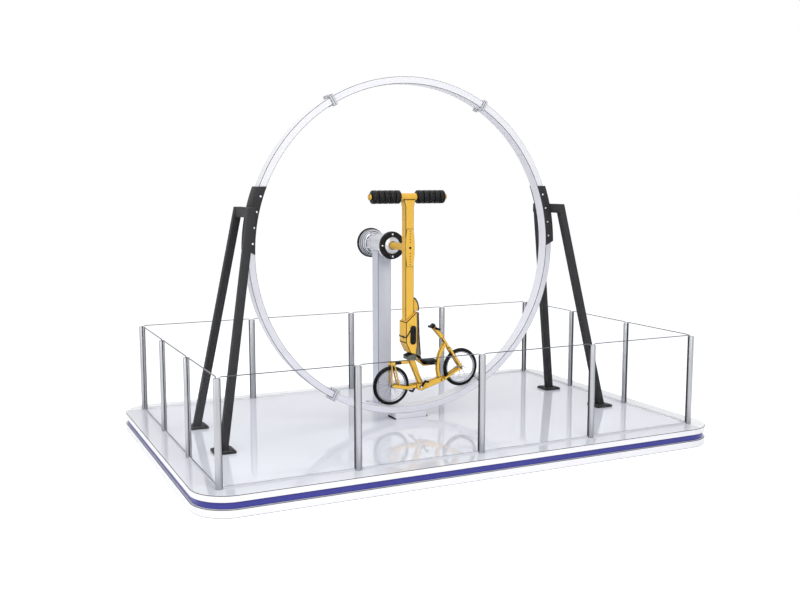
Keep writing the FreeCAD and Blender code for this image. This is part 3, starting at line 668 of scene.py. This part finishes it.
# A room that looks white and lights softly
def set_world():
    world = bpy.data.worlds.new("pale_room")
    bpy.context.scene.world = world
    world.use_nodes = True
    tree = world.node_tree
    tree.nodes.clear()
    mix = tree.nodes.new("ShaderNodeMixShader")
    tree.links.new(looked_at(tree), mix.inputs[0])
    tree.links.new(add_background(tree, (0.97, 0.975, 1.0), 0.62), mix.inputs[1])
    tree.links.new(add_background(tree, (1, 1, 1), 1.0), mix.inputs[2])
    out = tree.nodes.new("ShaderNodeOutputWorld")
    tree.links.new(mix.outputs[0], out.inputs["Surface"])


def set_lamps():
    aim = Vector((0, 0, 1.5))
    for name, place, size, power in (("front_softbox", (-0.8, -9.5, 7.0), 6.0, 480.0),
                                     ("left_softbox", (-9.5, -2.5, 4.0), 5.0, 180.0),
                                     ("top_softbox", (-1.0, 0.5, 9.0), 7.0, 200.0)):
        lamp = bpy.data.objects.new(name, bpy.data.lights.new(name, "AREA"))
        bpy.context.scene.collection.objects.link(lamp)
        lamp.data.shape = "SQUARE"
        lamp.data.size = size
        lamp.data.energy = power
        lamp.location = place
        lamp.rotation_euler = (aim - Vector(place)).to_track_quat("-Z", "Y").to_euler()


# A floor that looks white, with a soft shade where the platform stands
def set_floor():
    let_go()
    bpy.ops.mesh.primitive_plane_add(size=120.0, location=(0, 0, 0))
    floor = named("pale_floor")
    settle(floor)
    finish, tree, shader, where = new_finish("pale_floor_finish")
    grain = place_group(tree, GRAIN, where, Fine=40.0, Broad=0.3)
    tone = mix_colours(tree, grain.outputs["Drift"], (0.80, 0.80, 0.81), (0.82, 0.82, 0.83))
    tree.links.new(tone, shader.inputs["Base Color"])
    shader.inputs["Roughness"].default_value = 0.9
    glow = tree.nodes.new("ShaderNodeEmission")
    tree.links.new(add_math(tree, "MULTIPLY", looked_at(tree), 0.5), glow.inputs["Strength"])
    total = tree.nodes.new("ShaderNodeAddShader")
    tree.links.new(shader.outputs[0], total.inputs[0])
    tree.links.new(glow.outputs[0], total.inputs[1])
    tree.links.new(total.outputs[0], tree.nodes["Material Output"].inputs["Surface"])
    paint(floor, finish)


# Round head on a washer and hexagon head on a washer, both one unit in radius
def make_round_bolt():
    bolt = start_rod("round_bolt", (0, 0, 0), (0, 0, 0.22), 1.0, 14)
    pick_faces(bolt, looks_up)
    bpy.ops.mesh.inset(thickness=0.22, depth=0.0)
    bpy.ops.mesh.extrude_region_move(TRANSFORM_OT_translate={"value": (0, 0, 0.35)})
    bpy.ops.mesh.extrude_region_move(TRANSFORM_OT_translate={"value": (0, 0, 0.16)})
    bpy.ops.transform.resize(value=(0.72, 0.72, 1.0))
    bpy.ops.mesh.inset(thickness=0.24, depth=0.0)
    bpy.ops.mesh.extrude_region_move(TRANSFORM_OT_translate={"value": (0, 0, -0.2)})
    close_mesh()
    return paint(bolt, ZINC)


def make_hex_bolt():
    washer = start_rod("washer", (0, 0, 0), (0, 0, 0.16), 1.0, 16)
    pick_faces(washer, looks_up)
    bpy.ops.mesh.inset(thickness=0.06, depth=0.03)
    close_mesh()
    head = start_rod("head", (0, 0, 0.12), (0, 0, 0.62), 0.78, 6)
    pick_faces(head, looks_up)
    bpy.ops.mesh.inset(thickness=0.1, depth=0.06)
    close_mesh()
    return paint(join([washer, head], "hex_bolt"), ZINC)


set_camera()
set_world()
set_lamps()
set_floor()
bpy.context.scene.view_settings.view_transform = "Standard"
ROUND_BOLT = make_round_bolt()
HEX_BOLT = make_hex_bolt()


# Platform
def dress_platform():
    dress("platform_base", "base_slab", "white_panel", PANEL, LINE, 0.005, 1, free=True)
    dress("platform_band", "blue_band", "blue_band", BLUE, LINE, 0.004, 1)
    deck = dress("platform_deck", "white_deck", "white_panel", DECK, LINE, 0.005, 1, free=True)
    repaint(deck, PANEL, lambda centre, normal: abs(normal.z) < 0.5)


# Glass with round upper corners and a dark strip along its top edge
def round_glass(piece):
    half_y = max(v.co.y for v in piece.data.vertices)
    top = max(v.co.z for v in piece.data.vertices)

    def corner(a, b):
        return (a - b).length < 0.02 and abs(a.z - b.z) < ROUND and a.z > top - ROUND

    pick_edges(piece, corner)
    bpy.ops.mesh.bevel(offset=0.045, segments=6, affect="EDGES")
    close_mesh()
    strip_z = top - EDGE_STRIP
    cut_level(piece, strip_z)
    for face in piece.data.polygons:
        middle, normal = face.center, face.normal
        long_side = abs(middle.y) > half_y - 0.02
        flat = abs(normal.y) > 0.9 if long_side else abs(normal.x) > 0.9
        clear = flat and middle.z < strip_z or normal.z < -0.9
        face.material_index = 0 if clear else 1


def rest_on_deck(piece):
    for vertex in piece.data.vertices:
        if vertex.co.z < DECK_Z + 0.014:
            vertex.co.z = DECK_Z + 0.0004


# Dark seals where a panel's upright edge enters a post: start and end from the post's centre,
# and reach from the panel's middle. They are slim outside and wider inside.
def make_seal_pair(name, slim_side):
    slim, wide = (0.0335, 0.0385, 0.0100), (0.0310, 0.0410, 0.0125)
    glass_face = 0.0064
    strips = []
    for side in (-1, 1):
        start, end, reach = slim if side == slim_side else wide
        y0, y1 = sorted((side * glass_face, side * reach))
        low, high = (start, y0, DECK_Z + 0.001), (end, y1, POST_TOP - 0.002)
        strips.append(start_box("strip", low, high))
    pair = join(strips, name)
    soften(pair, 0.0010, 2)
    return pair


# Panel ends that have seals, each (x, y, turn, kind): front and back sides, then the right side
def seal_places(half_x, half_y):
    places = []
    for y, kind in ((-half_y, 0), (half_y, 1)):
        for bay in range(4):
            a = half_x * (bay / 2 - 1)
            places += [(a, y, 0, kind), (a + half_x / 2, y, 180, 1 - kind)]
    for bay in range(3):
        a = half_y * (bay * 2 / 3 - 1)
        places += [(half_x, a, 90, 0), (half_x, a + half_y * 2 / 3, -90, 1)]
    return places


def seal_glass():
    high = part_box("fence_posts")[1]
    pairs = [make_seal_pair("seal_pair_near", -1), make_seal_pair("seal_pair_far", 1)]
    seals = []
    for index, (x, y, turn, kind) in enumerate(seal_places(high.x - POST_R, high.y - POST_R)):
        place = Matrix.Translation((x, y, 0)) @ Matrix.Rotation(math.radians(turn), 4, "Z")
        seals.append(copy_of(pairs[kind], f"seal_{index}", place))
    for pair in pairs:
        drop(pair)
    fit(paint(join(seals, "glazing_seals"), SEAL), "stand", "grip_rubber")


def dress_fence():
    dress("fence_posts", "slotted_posts", "stainless", STEEL, width=0.0015)
    dress("fence_glass", "glass_panels", "clear_glass", GLASS, GLASS_EDGE, 0.0, before=round_glass)
    seats = dress("fence_bottom_rails", "thin_glass_seats", "stainless", SEAT_SEAL, width=0.001,
                  segments=1, before=rest_on_deck)
    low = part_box("fence_bottom_rails")[0]
    # Painted light: the seats along the back and right take the lighter side white so they read as
    # lit as the deck beside them
    repaint(seats, PANEL, lambda centre, normal: centre.x > low.x + 0.1 and centre.y > low.y + 0.1)
    seal_glass()


# Outward and lengthwise directions at a joint in the ring
def joint_ways(angle):
    a = math.radians(angle)
    return Vector((math.cos(a), 0.0, math.sin(a))), Vector((-math.sin(a), 0.0, math.cos(a)))


# How far out a point lies along a joint's line, and how far past it
def from_joint(point, angle):
    out, along = joint_ways(angle)
    place = point - Vector((0.0, 0.0, RING_Z))
    return place.dot(out), place.dot(along)


def near_joint(point):
    places = [from_joint(point, angle) for angle in JOINT_ANGLES]
    return any(radius > 0 and abs(past) < FLANGE_REACH for radius, past in places)


# Flanges built up square to the ring's line and along it
def thicken_flanges(piece):
    for vertex in piece.data.vertices:
        for angle in JOINT_ANGLES:
            out, along = joint_ways(angle)
            radius, past = from_joint(vertex.co, angle)
            if radius < 1.0 or abs(past) > FLANGE_T + ROUND:
                continue
            if radius > RING_OUT + ON_RING:
                vertex.co += out * FLANGE_RISE
            if radius < RING_IN - ON_RING:
                vertex.co -= out * FLANGE_RISE
            if abs(past) > FLANGE_T - ROUND:
                vertex.co += along * math.copysign(FLANGE_GROWTH, past)


def ring_lines(piece):
    thicken_flanges(piece)
    cut_level(piece, RING_Z)

    def round_edge(a, b):
        near, far = from_hub(a), from_hub(b)
        at_side = abs(a.y - b.y) < LEVEL and abs(abs(a.y) - FACE_Y) < LEVEL
        on_line = min(abs(near - RING_IN), abs(near - RING_OUT)) < ON_RING
        return at_side and on_line and abs(near - far) < ROUND

    shade_lines(piece, 0.005, lambda a, b: a.y < 0 and round_edge(a, b))
    shade_lines(piece, 0.008, lambda a, b: a.y > 0 and round_edge(a, b))


# Ring segments, their flanges and the fixings through them
def dress_ring():
    def outward(centre):
        return Vector((centre.x, 0.0, centre.z - RING_Z))

    def on_flange(centre, normal):
        out = outward(centre)
        proud = abs(centre.y) > FACE_Y + LEVEL or out.length > RING_OUT + LEVEL
        return proud or normal.dot(out.cross(Vector((0, 1, 0)))) ** 2 > 3.0

    for part in ("top", "left", "bottom", "right"):
        ring = dress("ring_" + part, "white_ring_" + part, "ring_white", WHITE, LINE, 0.003, 1,
                     angle=50.0, before=ring_lines)
        repaint(ring, CLAMP_GREY, on_flange)
        # Painted light and shade: the ring's inward faces take their own tone of the white
        repaint(ring, INNER_SHADING_WHITE, lambda centre, normal: normal.dot(outward(centre)) < -0.5)
        # Painted shade: the rest of the ring's lower half takes the darker white
        repaint(ring, LOWER_HALF_SHADE_WHITE, lambda centre, normal: centre.z < RING_Z)
        if part == "bottom":
            repaint(ring, PALE_LINE, lambda centre, normal: not near_joint(centre), now=1)
    dress("ring_shoe", "ring_shoe_white", "ring_white", SHOE_WHITE)
    places = []
    for angle in JOINT_ANGLES:
        along = joint_ways(angle)[1]
        for way in (along, -along):
            for y in (-0.0945, 0.0945):
                for radius in (2.035, 2.08):
                    places.append((Vector(on_ring(radius, angle, y)) + way * 0.0282, way, 0.005))
    set_bolts(HEX_BOLT, places, "ring_joint_bolts", "stand")
    # Dark rubber pads at the shoe's two ends, which also stand in for the painted shade in the gap
    # where the ring's ends meet the deck
    pads = []
    for side in (-1, 1):
        pad = start_box(f"shoe_shade_pad_{side}", (side * 0.221 - 0.012, -0.106, DECK_Z + 0.0005),
                        (side * 0.221 + 0.012, 0.106, DECK_Z + 0.016))
        soften(pad, 0.005, 3)
        pads.append(paint(pad, GRIP))
    fit(join(pads, "shoe_end_shade_pads"), "stand", "grip_rubber")


# Four bolts on the corners of a square plate
def corner_places(x, y, z, half, size):
    return [((x + dx, y + dy, z), (0, 0, 1), size) for dx in (-half, half) for dy in (-half, half)]


# Stands with their brackets, feet and fixings
def dress_stands():
    for side in ("left", "right"):
        dress(side + "_stand", side + "_stand_frame", "grey_steel", CHARCOAL, None, 0.006, 3)
    dress("ring_brackets", "ring_bracket_channels", "grey_steel", CHARCOAL, width=0.002)
    dress("foot_plates", "stand_foot_plates", "grey_steel", CHARCOAL)
    places = []
    for angle in (3.0, 8.2, 13.4, 18.6):
        for y, way in ((-0.1002, (0, -1, 0)), (0.1002, (0, 1, 0))):
            for turn in (angle, 180.0 - angle):
                places.append((on_ring(2.050, turn, y), way, 0.012))
    set_bolts(ROUND_BOLT, places, "bracket_bolts", "stand")
    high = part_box("foot_plates")[1]
    places = []
    for sx in (-1, 1):
        for sy in (-1, 1):
            x, y = sx * (high.x - 0.118), sy * (high.y - 0.118)
            places += corner_places(x, y, high.z, 0.09, 0.014)
    set_bolts(HEX_BOLT, places, "foot_anchor_bolts", "stand", BLACK, "grey_steel")


# Column and hub
def dress_column():
    dress("column", "square_column", "column_grey", COLUMN_PAINT, FINE_LINE, 0.006, 1)
    dress("column_base", "column_base_plate", "column_grey", COLUMN_PAINT, FINE_LINE, 0.003, 1)
    low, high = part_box("column_base")
    middle = (low + high) / 2
    places = corner_places(middle.x, middle.y, high.z, 0.135, 0.016)
    set_bolts(HEX_BOLT, places, "column_anchor_bolts", "stand")


def bolt_circle(radius, y, count, size, way):
    return [(on_ring(radius, 90.0 + 360.0 * k / count, y), way, size) for k in range(count)]


# Dark lines on the round steps of the hub housing
def hub_lines(piece):
    def step(a, b):
        near, far = from_hub(a), from_hub(b)
        level = abs(a.y - b.y) < LEVEL and abs(near - far) < ROUND
        return level and min(abs(near - r) for r in (0.122, 0.153, 0.182, 0.184)) < 0.0008

    shade_lines(piece, 0.006, step)


def dress_hub():
    dress("hub_housing", "turned_hub", "bright_metal", ALLOY, LINE, 0.0015, 1, 50.0, hub_lines)
    dress("hub_front_ring", "black_front_ring", "black_steel", BLACK, None, 0.003, 3)
    dress("hub_rear_disc", "black_rear_disc", "black_steel", BLACK, None, 0.004, 3)
    front_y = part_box("hub_front_ring")[0].y
    places = bolt_circle(0.145, front_y, 4, 0.013, (0, -1, 0))
    set_bolts(ROUND_BOLT, places, "front_ring_bolts", "stand")
    back_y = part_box("hub_rear_disc")[1].y
    places = bolt_circle(0.165, back_y, 8, 0.014, (0, 1, 0))
    set_bolts(HEX_BOLT, places, "rear_disc_bolts", "stand")
    low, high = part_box("hub_shaft")
    outline = [(0.0005, 0.0), (0.046, 0.0), (0.046, 0.405), (0.040, 0.412), (0.0005, 0.412)]
    shaft = turned("yellow_shaft", outline, (0, low.y, RING_Z), (0, 1, 0), 48)
    complete(shaft, YELLOW, "swing_arm", "yellow_paint", "hub_shaft")
    outline = [(0.0465, 0.0), (0.060, -0.010), (0.094, -0.004), (0.106, 0.003), (0.106, 0.014),
               (0.0465, 0.014)]
    collar = turned("shaft_collar", outline, (0, 0.4465, RING_Z), (0, 1, 0), 64)
    complete(collar, ALLOY, "swing_arm", "bright_metal")
    length = high.y - 0.471
    outline = [(0.0005, 0.0), (0.0455, 0.0), (0.0455, length), (0.0005, length)]
    tail = turned("shaft_tail", outline, (0, 0.4705, RING_Z), (0, 1, 0), 48)
    complete(tail, ALLOY, "swing_arm", "bright_metal")


# Ribbed discs in two rows on the weight bar, with a collar at each end
def make_weights():
    bar_z = RING_Z + 0.634
    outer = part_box("counterweights")[1].x
    thick, pitch, count = 0.074, 0.077, 5
    inner = outer - (count - 1) * pitch - thick
    outline = [(0.0345, 0.0), (0.064, 0.0), (0.078, 0.004), (0.084, 0.012),
               (0.084, thick - 0.012), (0.078, thick - 0.004), (0.064, thick), (0.0345, thick)]
    first = turned("disc", outline, (0, 0, 0), (1, 0, 0), 56)
    discs = []
    for side in (-1, 1):
        for index in range(count):
            start = inner + index * pitch
            place = Matrix.Translation((start if side > 0 else -start - thick, 0, bar_z))
            discs.append(copy_of(first, f"disc_{side}_{index}", place))
    drop(first)
    weights = join(discs, "ribbed_weights")
    complete(weights, BLACK, "swing_arm", "black_steel", "counterweights", angle=50)
    outline = [(0.0345, 0.0), (0.046, 0.0), (0.046, 0.010), (0.0345, 0.010)]
    collars = []
    for side in (-1, 1):
        start = (side * (outer + 0.0005), 0, bar_z)
        collars.append(turned(f"collar_{side}", outline, start, (side, 0, 0), 40))
    complete(join(collars, "bar_end_collars"), BLACK, "swing_arm", "black_steel")


# Swing arm with its brace plate and weights
def dress_arm():
    dress("arm_beam", "yellow_arm", "yellow_paint", YELLOW, YELLOW_LINE, 0.006, 1, free=True)
    dress("arm_brace_plate", "brace_plate", "yellow_paint", YELLOW, YELLOW_LINE, 0.004, 1)
    front_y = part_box("arm_brace_plate")[0].y
    places = []
    for z in (-0.210, -0.175, -0.140, -0.105, -0.070, 0.070, 0.105, 0.140, 0.175, 0.210):
        places.append(((0.0, front_y, RING_Z + z), (0, -1, 0), 0.007))
    places.append(((0.0, front_y, RING_Z), (0, -1, 0), 0.016))
    set_bolts(HEX_BOLT, places, "brace_plate_bolts", "swing_arm", YELLOW_LINE, "black_steel")
    dress("counterweight_bar", "weight_bar", "yellow_paint", YELLOW, YELLOW_LINE, 0.004)
    make_weights()


# Seat housing, with lines on its long edges outside the pockets of the side pads
def housing_lines(piece):
    def in_pocket(p):
        return -0.020 < p.x < 0.072 and 0.780 < p.z - TRACK_Z < 1.050

    def outer(a, b):
        return (a - b).length > 0.02 and not in_pocket(a) and not in_pocket(b)

    shade_lines(piece, 0.007, outer)


def dress_seat():
    dress("seat_housing", "yellow_housing", "yellow_paint", YELLOW, YELLOW_LINE, 0.002, 1, 50.0,
          housing_lines)
    dress("seat_tray", "slanted_tray", "black_steel", TRAY_BLACK, width=0.002)
    dress("seat_block", "grey_block", "grey_steel", DARK_GREY)
    shell = dress("seat_shell", "thin_shell", "shell_grey", SHELL_GREY, TRAY_BLACK, 0.0)
    for face in shell.data.polygons:
        outside = face.normal.x < -0.3 and face.center.z > TRACK_Z + 0.64
        face.material_index = 0 if outside else 1
    dress("saddle_support", "saddle_carrier", "yellow_paint", YELLOW, YELLOW_LINE, 0.003, 1)
    dress("head_support", "head_rest_filler", "yellow_paint", YELLOW, YELLOW_LINE, 0.003, 1)


def remesh_evenly(piece, size):
    take(piece)
    net = piece.modifiers.new("even_net", "REMESH")
    net.mode = "VOXEL"
    net.voxel_size = size
    bpy.ops.object.modifier_apply(modifier=net.name)


# Cloth under pressure, with each point's way from its start held to a limit
def blow_up(piece, limit):
    starts = [v.co.copy() for v in piece.data.vertices]
    cloth = piece.modifiers.new("swelling", "CLOTH")
    cloth.settings.use_pressure = True
    cloth.settings.uniform_pressure_force = PAD_PRESSURE
    cloth.settings.effector_weights.gravity = 0.0
    for step in range(1, CLOTH_STEPS + 1):
        bpy.context.scene.frame_set(step)
    take(piece)
    bpy.ops.object.modifier_apply(modifier=cloth.name)
    bpy.context.scene.frame_set(1)
    for vertex, start in zip(piece.data.vertices, starts):
        shift = vertex.co - start
        if shift.length > limit:
            vertex.co = start + shift.normalized() * limit


# A pad swollen from its plain block, which is first drawn in by a little
def swell(node, name, smaller, limit, voxel):
    source = frame["nodes"][node]
    pad = copy_of(source, name)
    mend(pad)
    open_whole(pad)
    bpy.ops.transform.shrink_fatten(value=-smaller)
    close_mesh()
    remesh_evenly(pad, voxel)
    blow_up(pad, limit)
    take(pad)
    relax = pad.modifiers.new("relaxed", "SMOOTH")
    relax.factor = 0.5
    relax.iterations = 4
    bpy.ops.object.modifier_apply(modifier=relax.name)
    finer = pad.modifiers.new("finer", "SUBSURF")
    finer.levels = 1
    finer.render_levels = 1
    bpy.ops.object.modifier_apply(modifier=finer.name)
    complete(pad, LEATHER, source["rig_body"], "pad_black", node, angle=60)
    return pad


# Five level seams sewn into the back pad, and a shallow groove along the saddle
def make_pads():
    back = swell("back_pad", "quilted_back_pad", 0.0015, 0.004, 0.004)
    low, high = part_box("back_pad")
    front = Vector((1, 0, 0))
    depth, reach = 0.003, 0.007
    seams = [low.z + (high.z - low.z) * k / 6 for k in range(1, 6)]
    for vertex in back.data.vertices:
        for seam in seams:
            away = abs(vertex.co.z - seam) / reach
            if away < 1.0 and vertex.normal.dot(front) > 0.2:
                vertex.co -= front * depth * (1.0 - away * away)
    swell("head_pad", "curved_head_pad", 0.002, 0.004, 0.004)
    swell("side_pads", "oval_side_pads", 0.0015, 0.004, 0.003)
    saddle = swell("saddle", "padded_saddle", 0.004, 0.008, 0.005)
    half, groove, nose_x = 0.012, 0.004, 0.36
    for vertex in saddle.data.vertices:
        if vertex.normal.z > 0.3 and abs(vertex.co.y) < half and vertex.co.x < nose_x:
            vertex.co.z -= groove * (1.0 - (vertex.co.y / half) ** 2)


# Strap round the housing's back with a small buckle
def make_strap():
    a, b = Vector((-0.017, 0, TRACK_Z + 0.965)), Vector((-0.0705, 0, TRACK_Z + 0.888))
    along = (b - a).normalized()
    across = Vector((-along.z, 0, along.x)) * 0.008
    outline = [(p.x, p.z) for p in (a + across, b + across, b - across, a - across)]
    body = []
    for side in (-1, 1):
        y0, y1 = sorted((side * 0.1013, side * 0.1030))
        body.append(slab(f"strap_side_{side}", outline, y0, y1))
        body.append(start_rod(f"strap_tab_{side}", (a.x, y0, a.z), (a.x, y1, a.z), 0.013, 20))
    body.append(start_box("strap_back", (-0.0732, -0.1028, TRACK_Z + 0.879),
                          (-0.0713, 0.1028, TRACK_Z + 0.895)))
    strap = join(body, "safety_strap")
    soften(strap, 0.0004, 1)
    fit(paint(strap, WEBBING), "swing_arm", "pad_black")
    buckle = start_box("strap_buckle", (-0.0765, -0.040, TRACK_Z + 0.872),
                       (-0.0735, 0.0, TRACK_Z + 0.902))
    pick_faces(buckle, lambda centre, normal: normal.x < -0.9)
    bpy.ops.mesh.inset(thickness=0.007, depth=0.0)
    bpy.ops.mesh.extrude_region_move(TRANSFORM_OT_translate={"value": (0.0015, 0, 0)})
    close_mesh()
    soften(buckle, 0.0012, 2)
    fit(paint(buckle, BLACK), "swing_arm", "black_steel")


# Tyre with two staggered rows of tread blocks, one block every six degrees
def make_tyre(node, name, centre, body):
    middle_r, half, sides = 0.2265, 0.0220, 20
    outline = []
    for step in range(sides):
        a = math.tau * step / sides
        outline.append((middle_r + half * math.cos(a), half * math.sin(a)))
    tyre = turned(name, outline, centre, (0, 1, 0), 120)
    middle = Vector(centre)
    pitch, tread_r, inner_row, tread_half = 6.0, 0.2425, 0.004, 0.014

    def block(c, n):
        out = Vector((c.x - middle.x, 0, c.z - middle.z))
        angle = math.degrees(math.atan2(out.z, out.x)) % pitch
        row = abs(c.y)
        if row > inner_row:
            angle = (angle + pitch / 2) % pitch
        return out.length >= tread_r and angle < pitch / 2 and row < tread_half

    pick_faces(tyre, block)
    bpy.ops.mesh.inset(thickness=0.0008, depth=0.0, use_individual=True)
    bpy.ops.mesh.extrude_region_shrink_fatten(TRANSFORM_OT_shrink_fatten={"value": 0.0014})
    close_mesh()
    complete(tyre, RUBBER, body, "tyre_black", node, angle=32)


# Crossed spokes that lean both ways from either hub flange to the rim
def make_spokes(name, centre):
    count, radius, lean = 32, 0.0013, 1.05
    flange_r, flange_y, rim_r, rim_y = 0.021, 0.0225, 0.196, 0.003
    pattern = start_rod("spoke", (0, 0, 0), (0, 0, 1), 1.0, 6)
    middle = Vector(centre)
    pieces = []
    for index in range(count):
        side = 1 if index % 2 else -1
        a = math.tau * index / count
        b = a + (lean if (index // 2) % 2 else -lean)
        start = middle + Vector((flange_r * math.cos(b), side * flange_y, flange_r * math.sin(b)))
        end = middle + Vector((rim_r * math.cos(a), side * rim_y, rim_r * math.sin(a)))
        run = end - start
        stretch = Matrix.Diagonal((radius, radius, run.length, 1.0))
        place = Matrix.Translation(start) @ facing(run) @ stretch
        pieces.append(copy_of(pattern, f"{name}_{index}", place))
    drop(pattern)
    spokes = join(pieces, name)
    smooth(spokes, 70)
    return paint(spokes, RIM)


# Wheel: a treaded tyre, a hollow rim, crossed spokes and a flanged hub between axle nuts
def make_wheel(end, centre):
    body = end + "_wheel"
    make_tyre(end + "_tyre", end + "_treaded_tyre", centre, body)
    outline = [(0.2060, -0.0135), (0.2085, -0.0135), (0.2085, 0.0135), (0.2060, 0.0135),
               (0.2010, 0.0105), (0.1930, 0.0080), (0.1915, 0.0), (0.1930, -0.0080),
               (0.2010, -0.0105)]
    rim = turned(end + "_rim", outline, centre, (0, 1, 0), 120)
    complete(rim, RIM, body, "bright_metal", end + "_spoked_rim", angle=40)
    fit(make_spokes(end + "_spokes", centre), body, "bright_metal")
    half = [(0.0085, 0.026), (0.013, 0.026), (0.024, 0.0245), (0.024, 0.0205), (0.014, 0.018)]
    outline = [(r, -y) for r, y in half] + [(0.0125, 0.0)] + half[::-1]
    hub = turned(end + "_hub_shell", outline, centre, (0, 1, 0), 40)
    complete(hub, ALLOY, body, "bright_metal", angle=40)
    paint(frame["nodes"][end + "_axle"], ZINC)
    places = [((centre[0], side * 0.0445, centre[2]), (0, side, 0), 0.017) for side in (-1, 1)]
    set_bolts(HEX_BOLT, places, end + "_axle_nuts", "swing_arm", BLACK, "black_steel")


# Ribbed grips on the ends of the handlebar
def make_grips():
    low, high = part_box("handlebar")
    centre = (low + high) / 2
    bore, rib, valley, length = 0.0112, 0.0150, 0.0136, 0.096
    outline = [(bore, 0.0)]
    for index in range(7):
        y = 0.006 + index * 0.012
        outline += [(rib, y), (rib, y + 0.007), (valley, y + 0.0085), (valley, y + 0.0105)]
    outline += [(rib, length), (bore, length)]
    grips = []
    for side in (-1, 1):
        start = (centre.x, side * 0.056, centre.z)
        grips.append(turned(f"grip_{side}", outline, start, (0, side, 0), 28))
    complete(join(grips, "ribbed_grips"), GRIP, "swing_arm", "grip_rubber", "grips", angle=30)


# Bicycle frame and its fittings
def dress_bicycle():
    for node, name in (("bike_main_frame", "main_frame"), ("bike_rear_frame", "rear_frame"),
                       ("bike_front_fork", "front_fork"), ("bike_front_stays", "front_stays")):
        dress(node, name, "yellow_paint", YELLOW, YELLOW_LINE, 0.0045, 1, free=True)
    dress("stem_cap", "stem_end_cap", "black_steel", BLACK, None, 0.005, 3)
    paint(frame["nodes"]["handlebar"], BLACK)
    make_grips()
    outline = [(0.0188, 0.0), (0.0215, 0.0), (0.0215, 0.105), (0.0188, 0.105)]
    start = (-0.205, 0, REAR_WHEEL[2] + 0.2815)
    band = turned("rear_bar_band", outline, start, (1, 0, 0), 32)
    complete(band, BLACK, "swing_arm", "black_steel")


def dress_crank():
    dress("crank_set", "crank_arms", "black_steel", BLACK, width=0.0015)
    dress("pedals", "pedal_blocks", "grip_rubber", GRIP, width=0.002)
    x, z = 0.160, TRACK_Z + 0.224
    places = [((x, side * 0.0760, z), (0, side, 0), 0.013) for side in (-1, 1)]
    set_bolts(HEX_BOLT, places, "crank_bolts", "crank")


dress_platform()
dress_fence()
dress_ring()
dress_stands()
dress_column()
dress_hub()
dress_arm()
dress_seat()
make_pads()
make_strap()
make_wheel("rear", REAR_WHEEL)
make_wheel("front", FRONT_WHEEL)
dress_bicycle()
dress_crank()
drop(ROUND_BOLT)
drop(HEX_BOLT)
let_go()
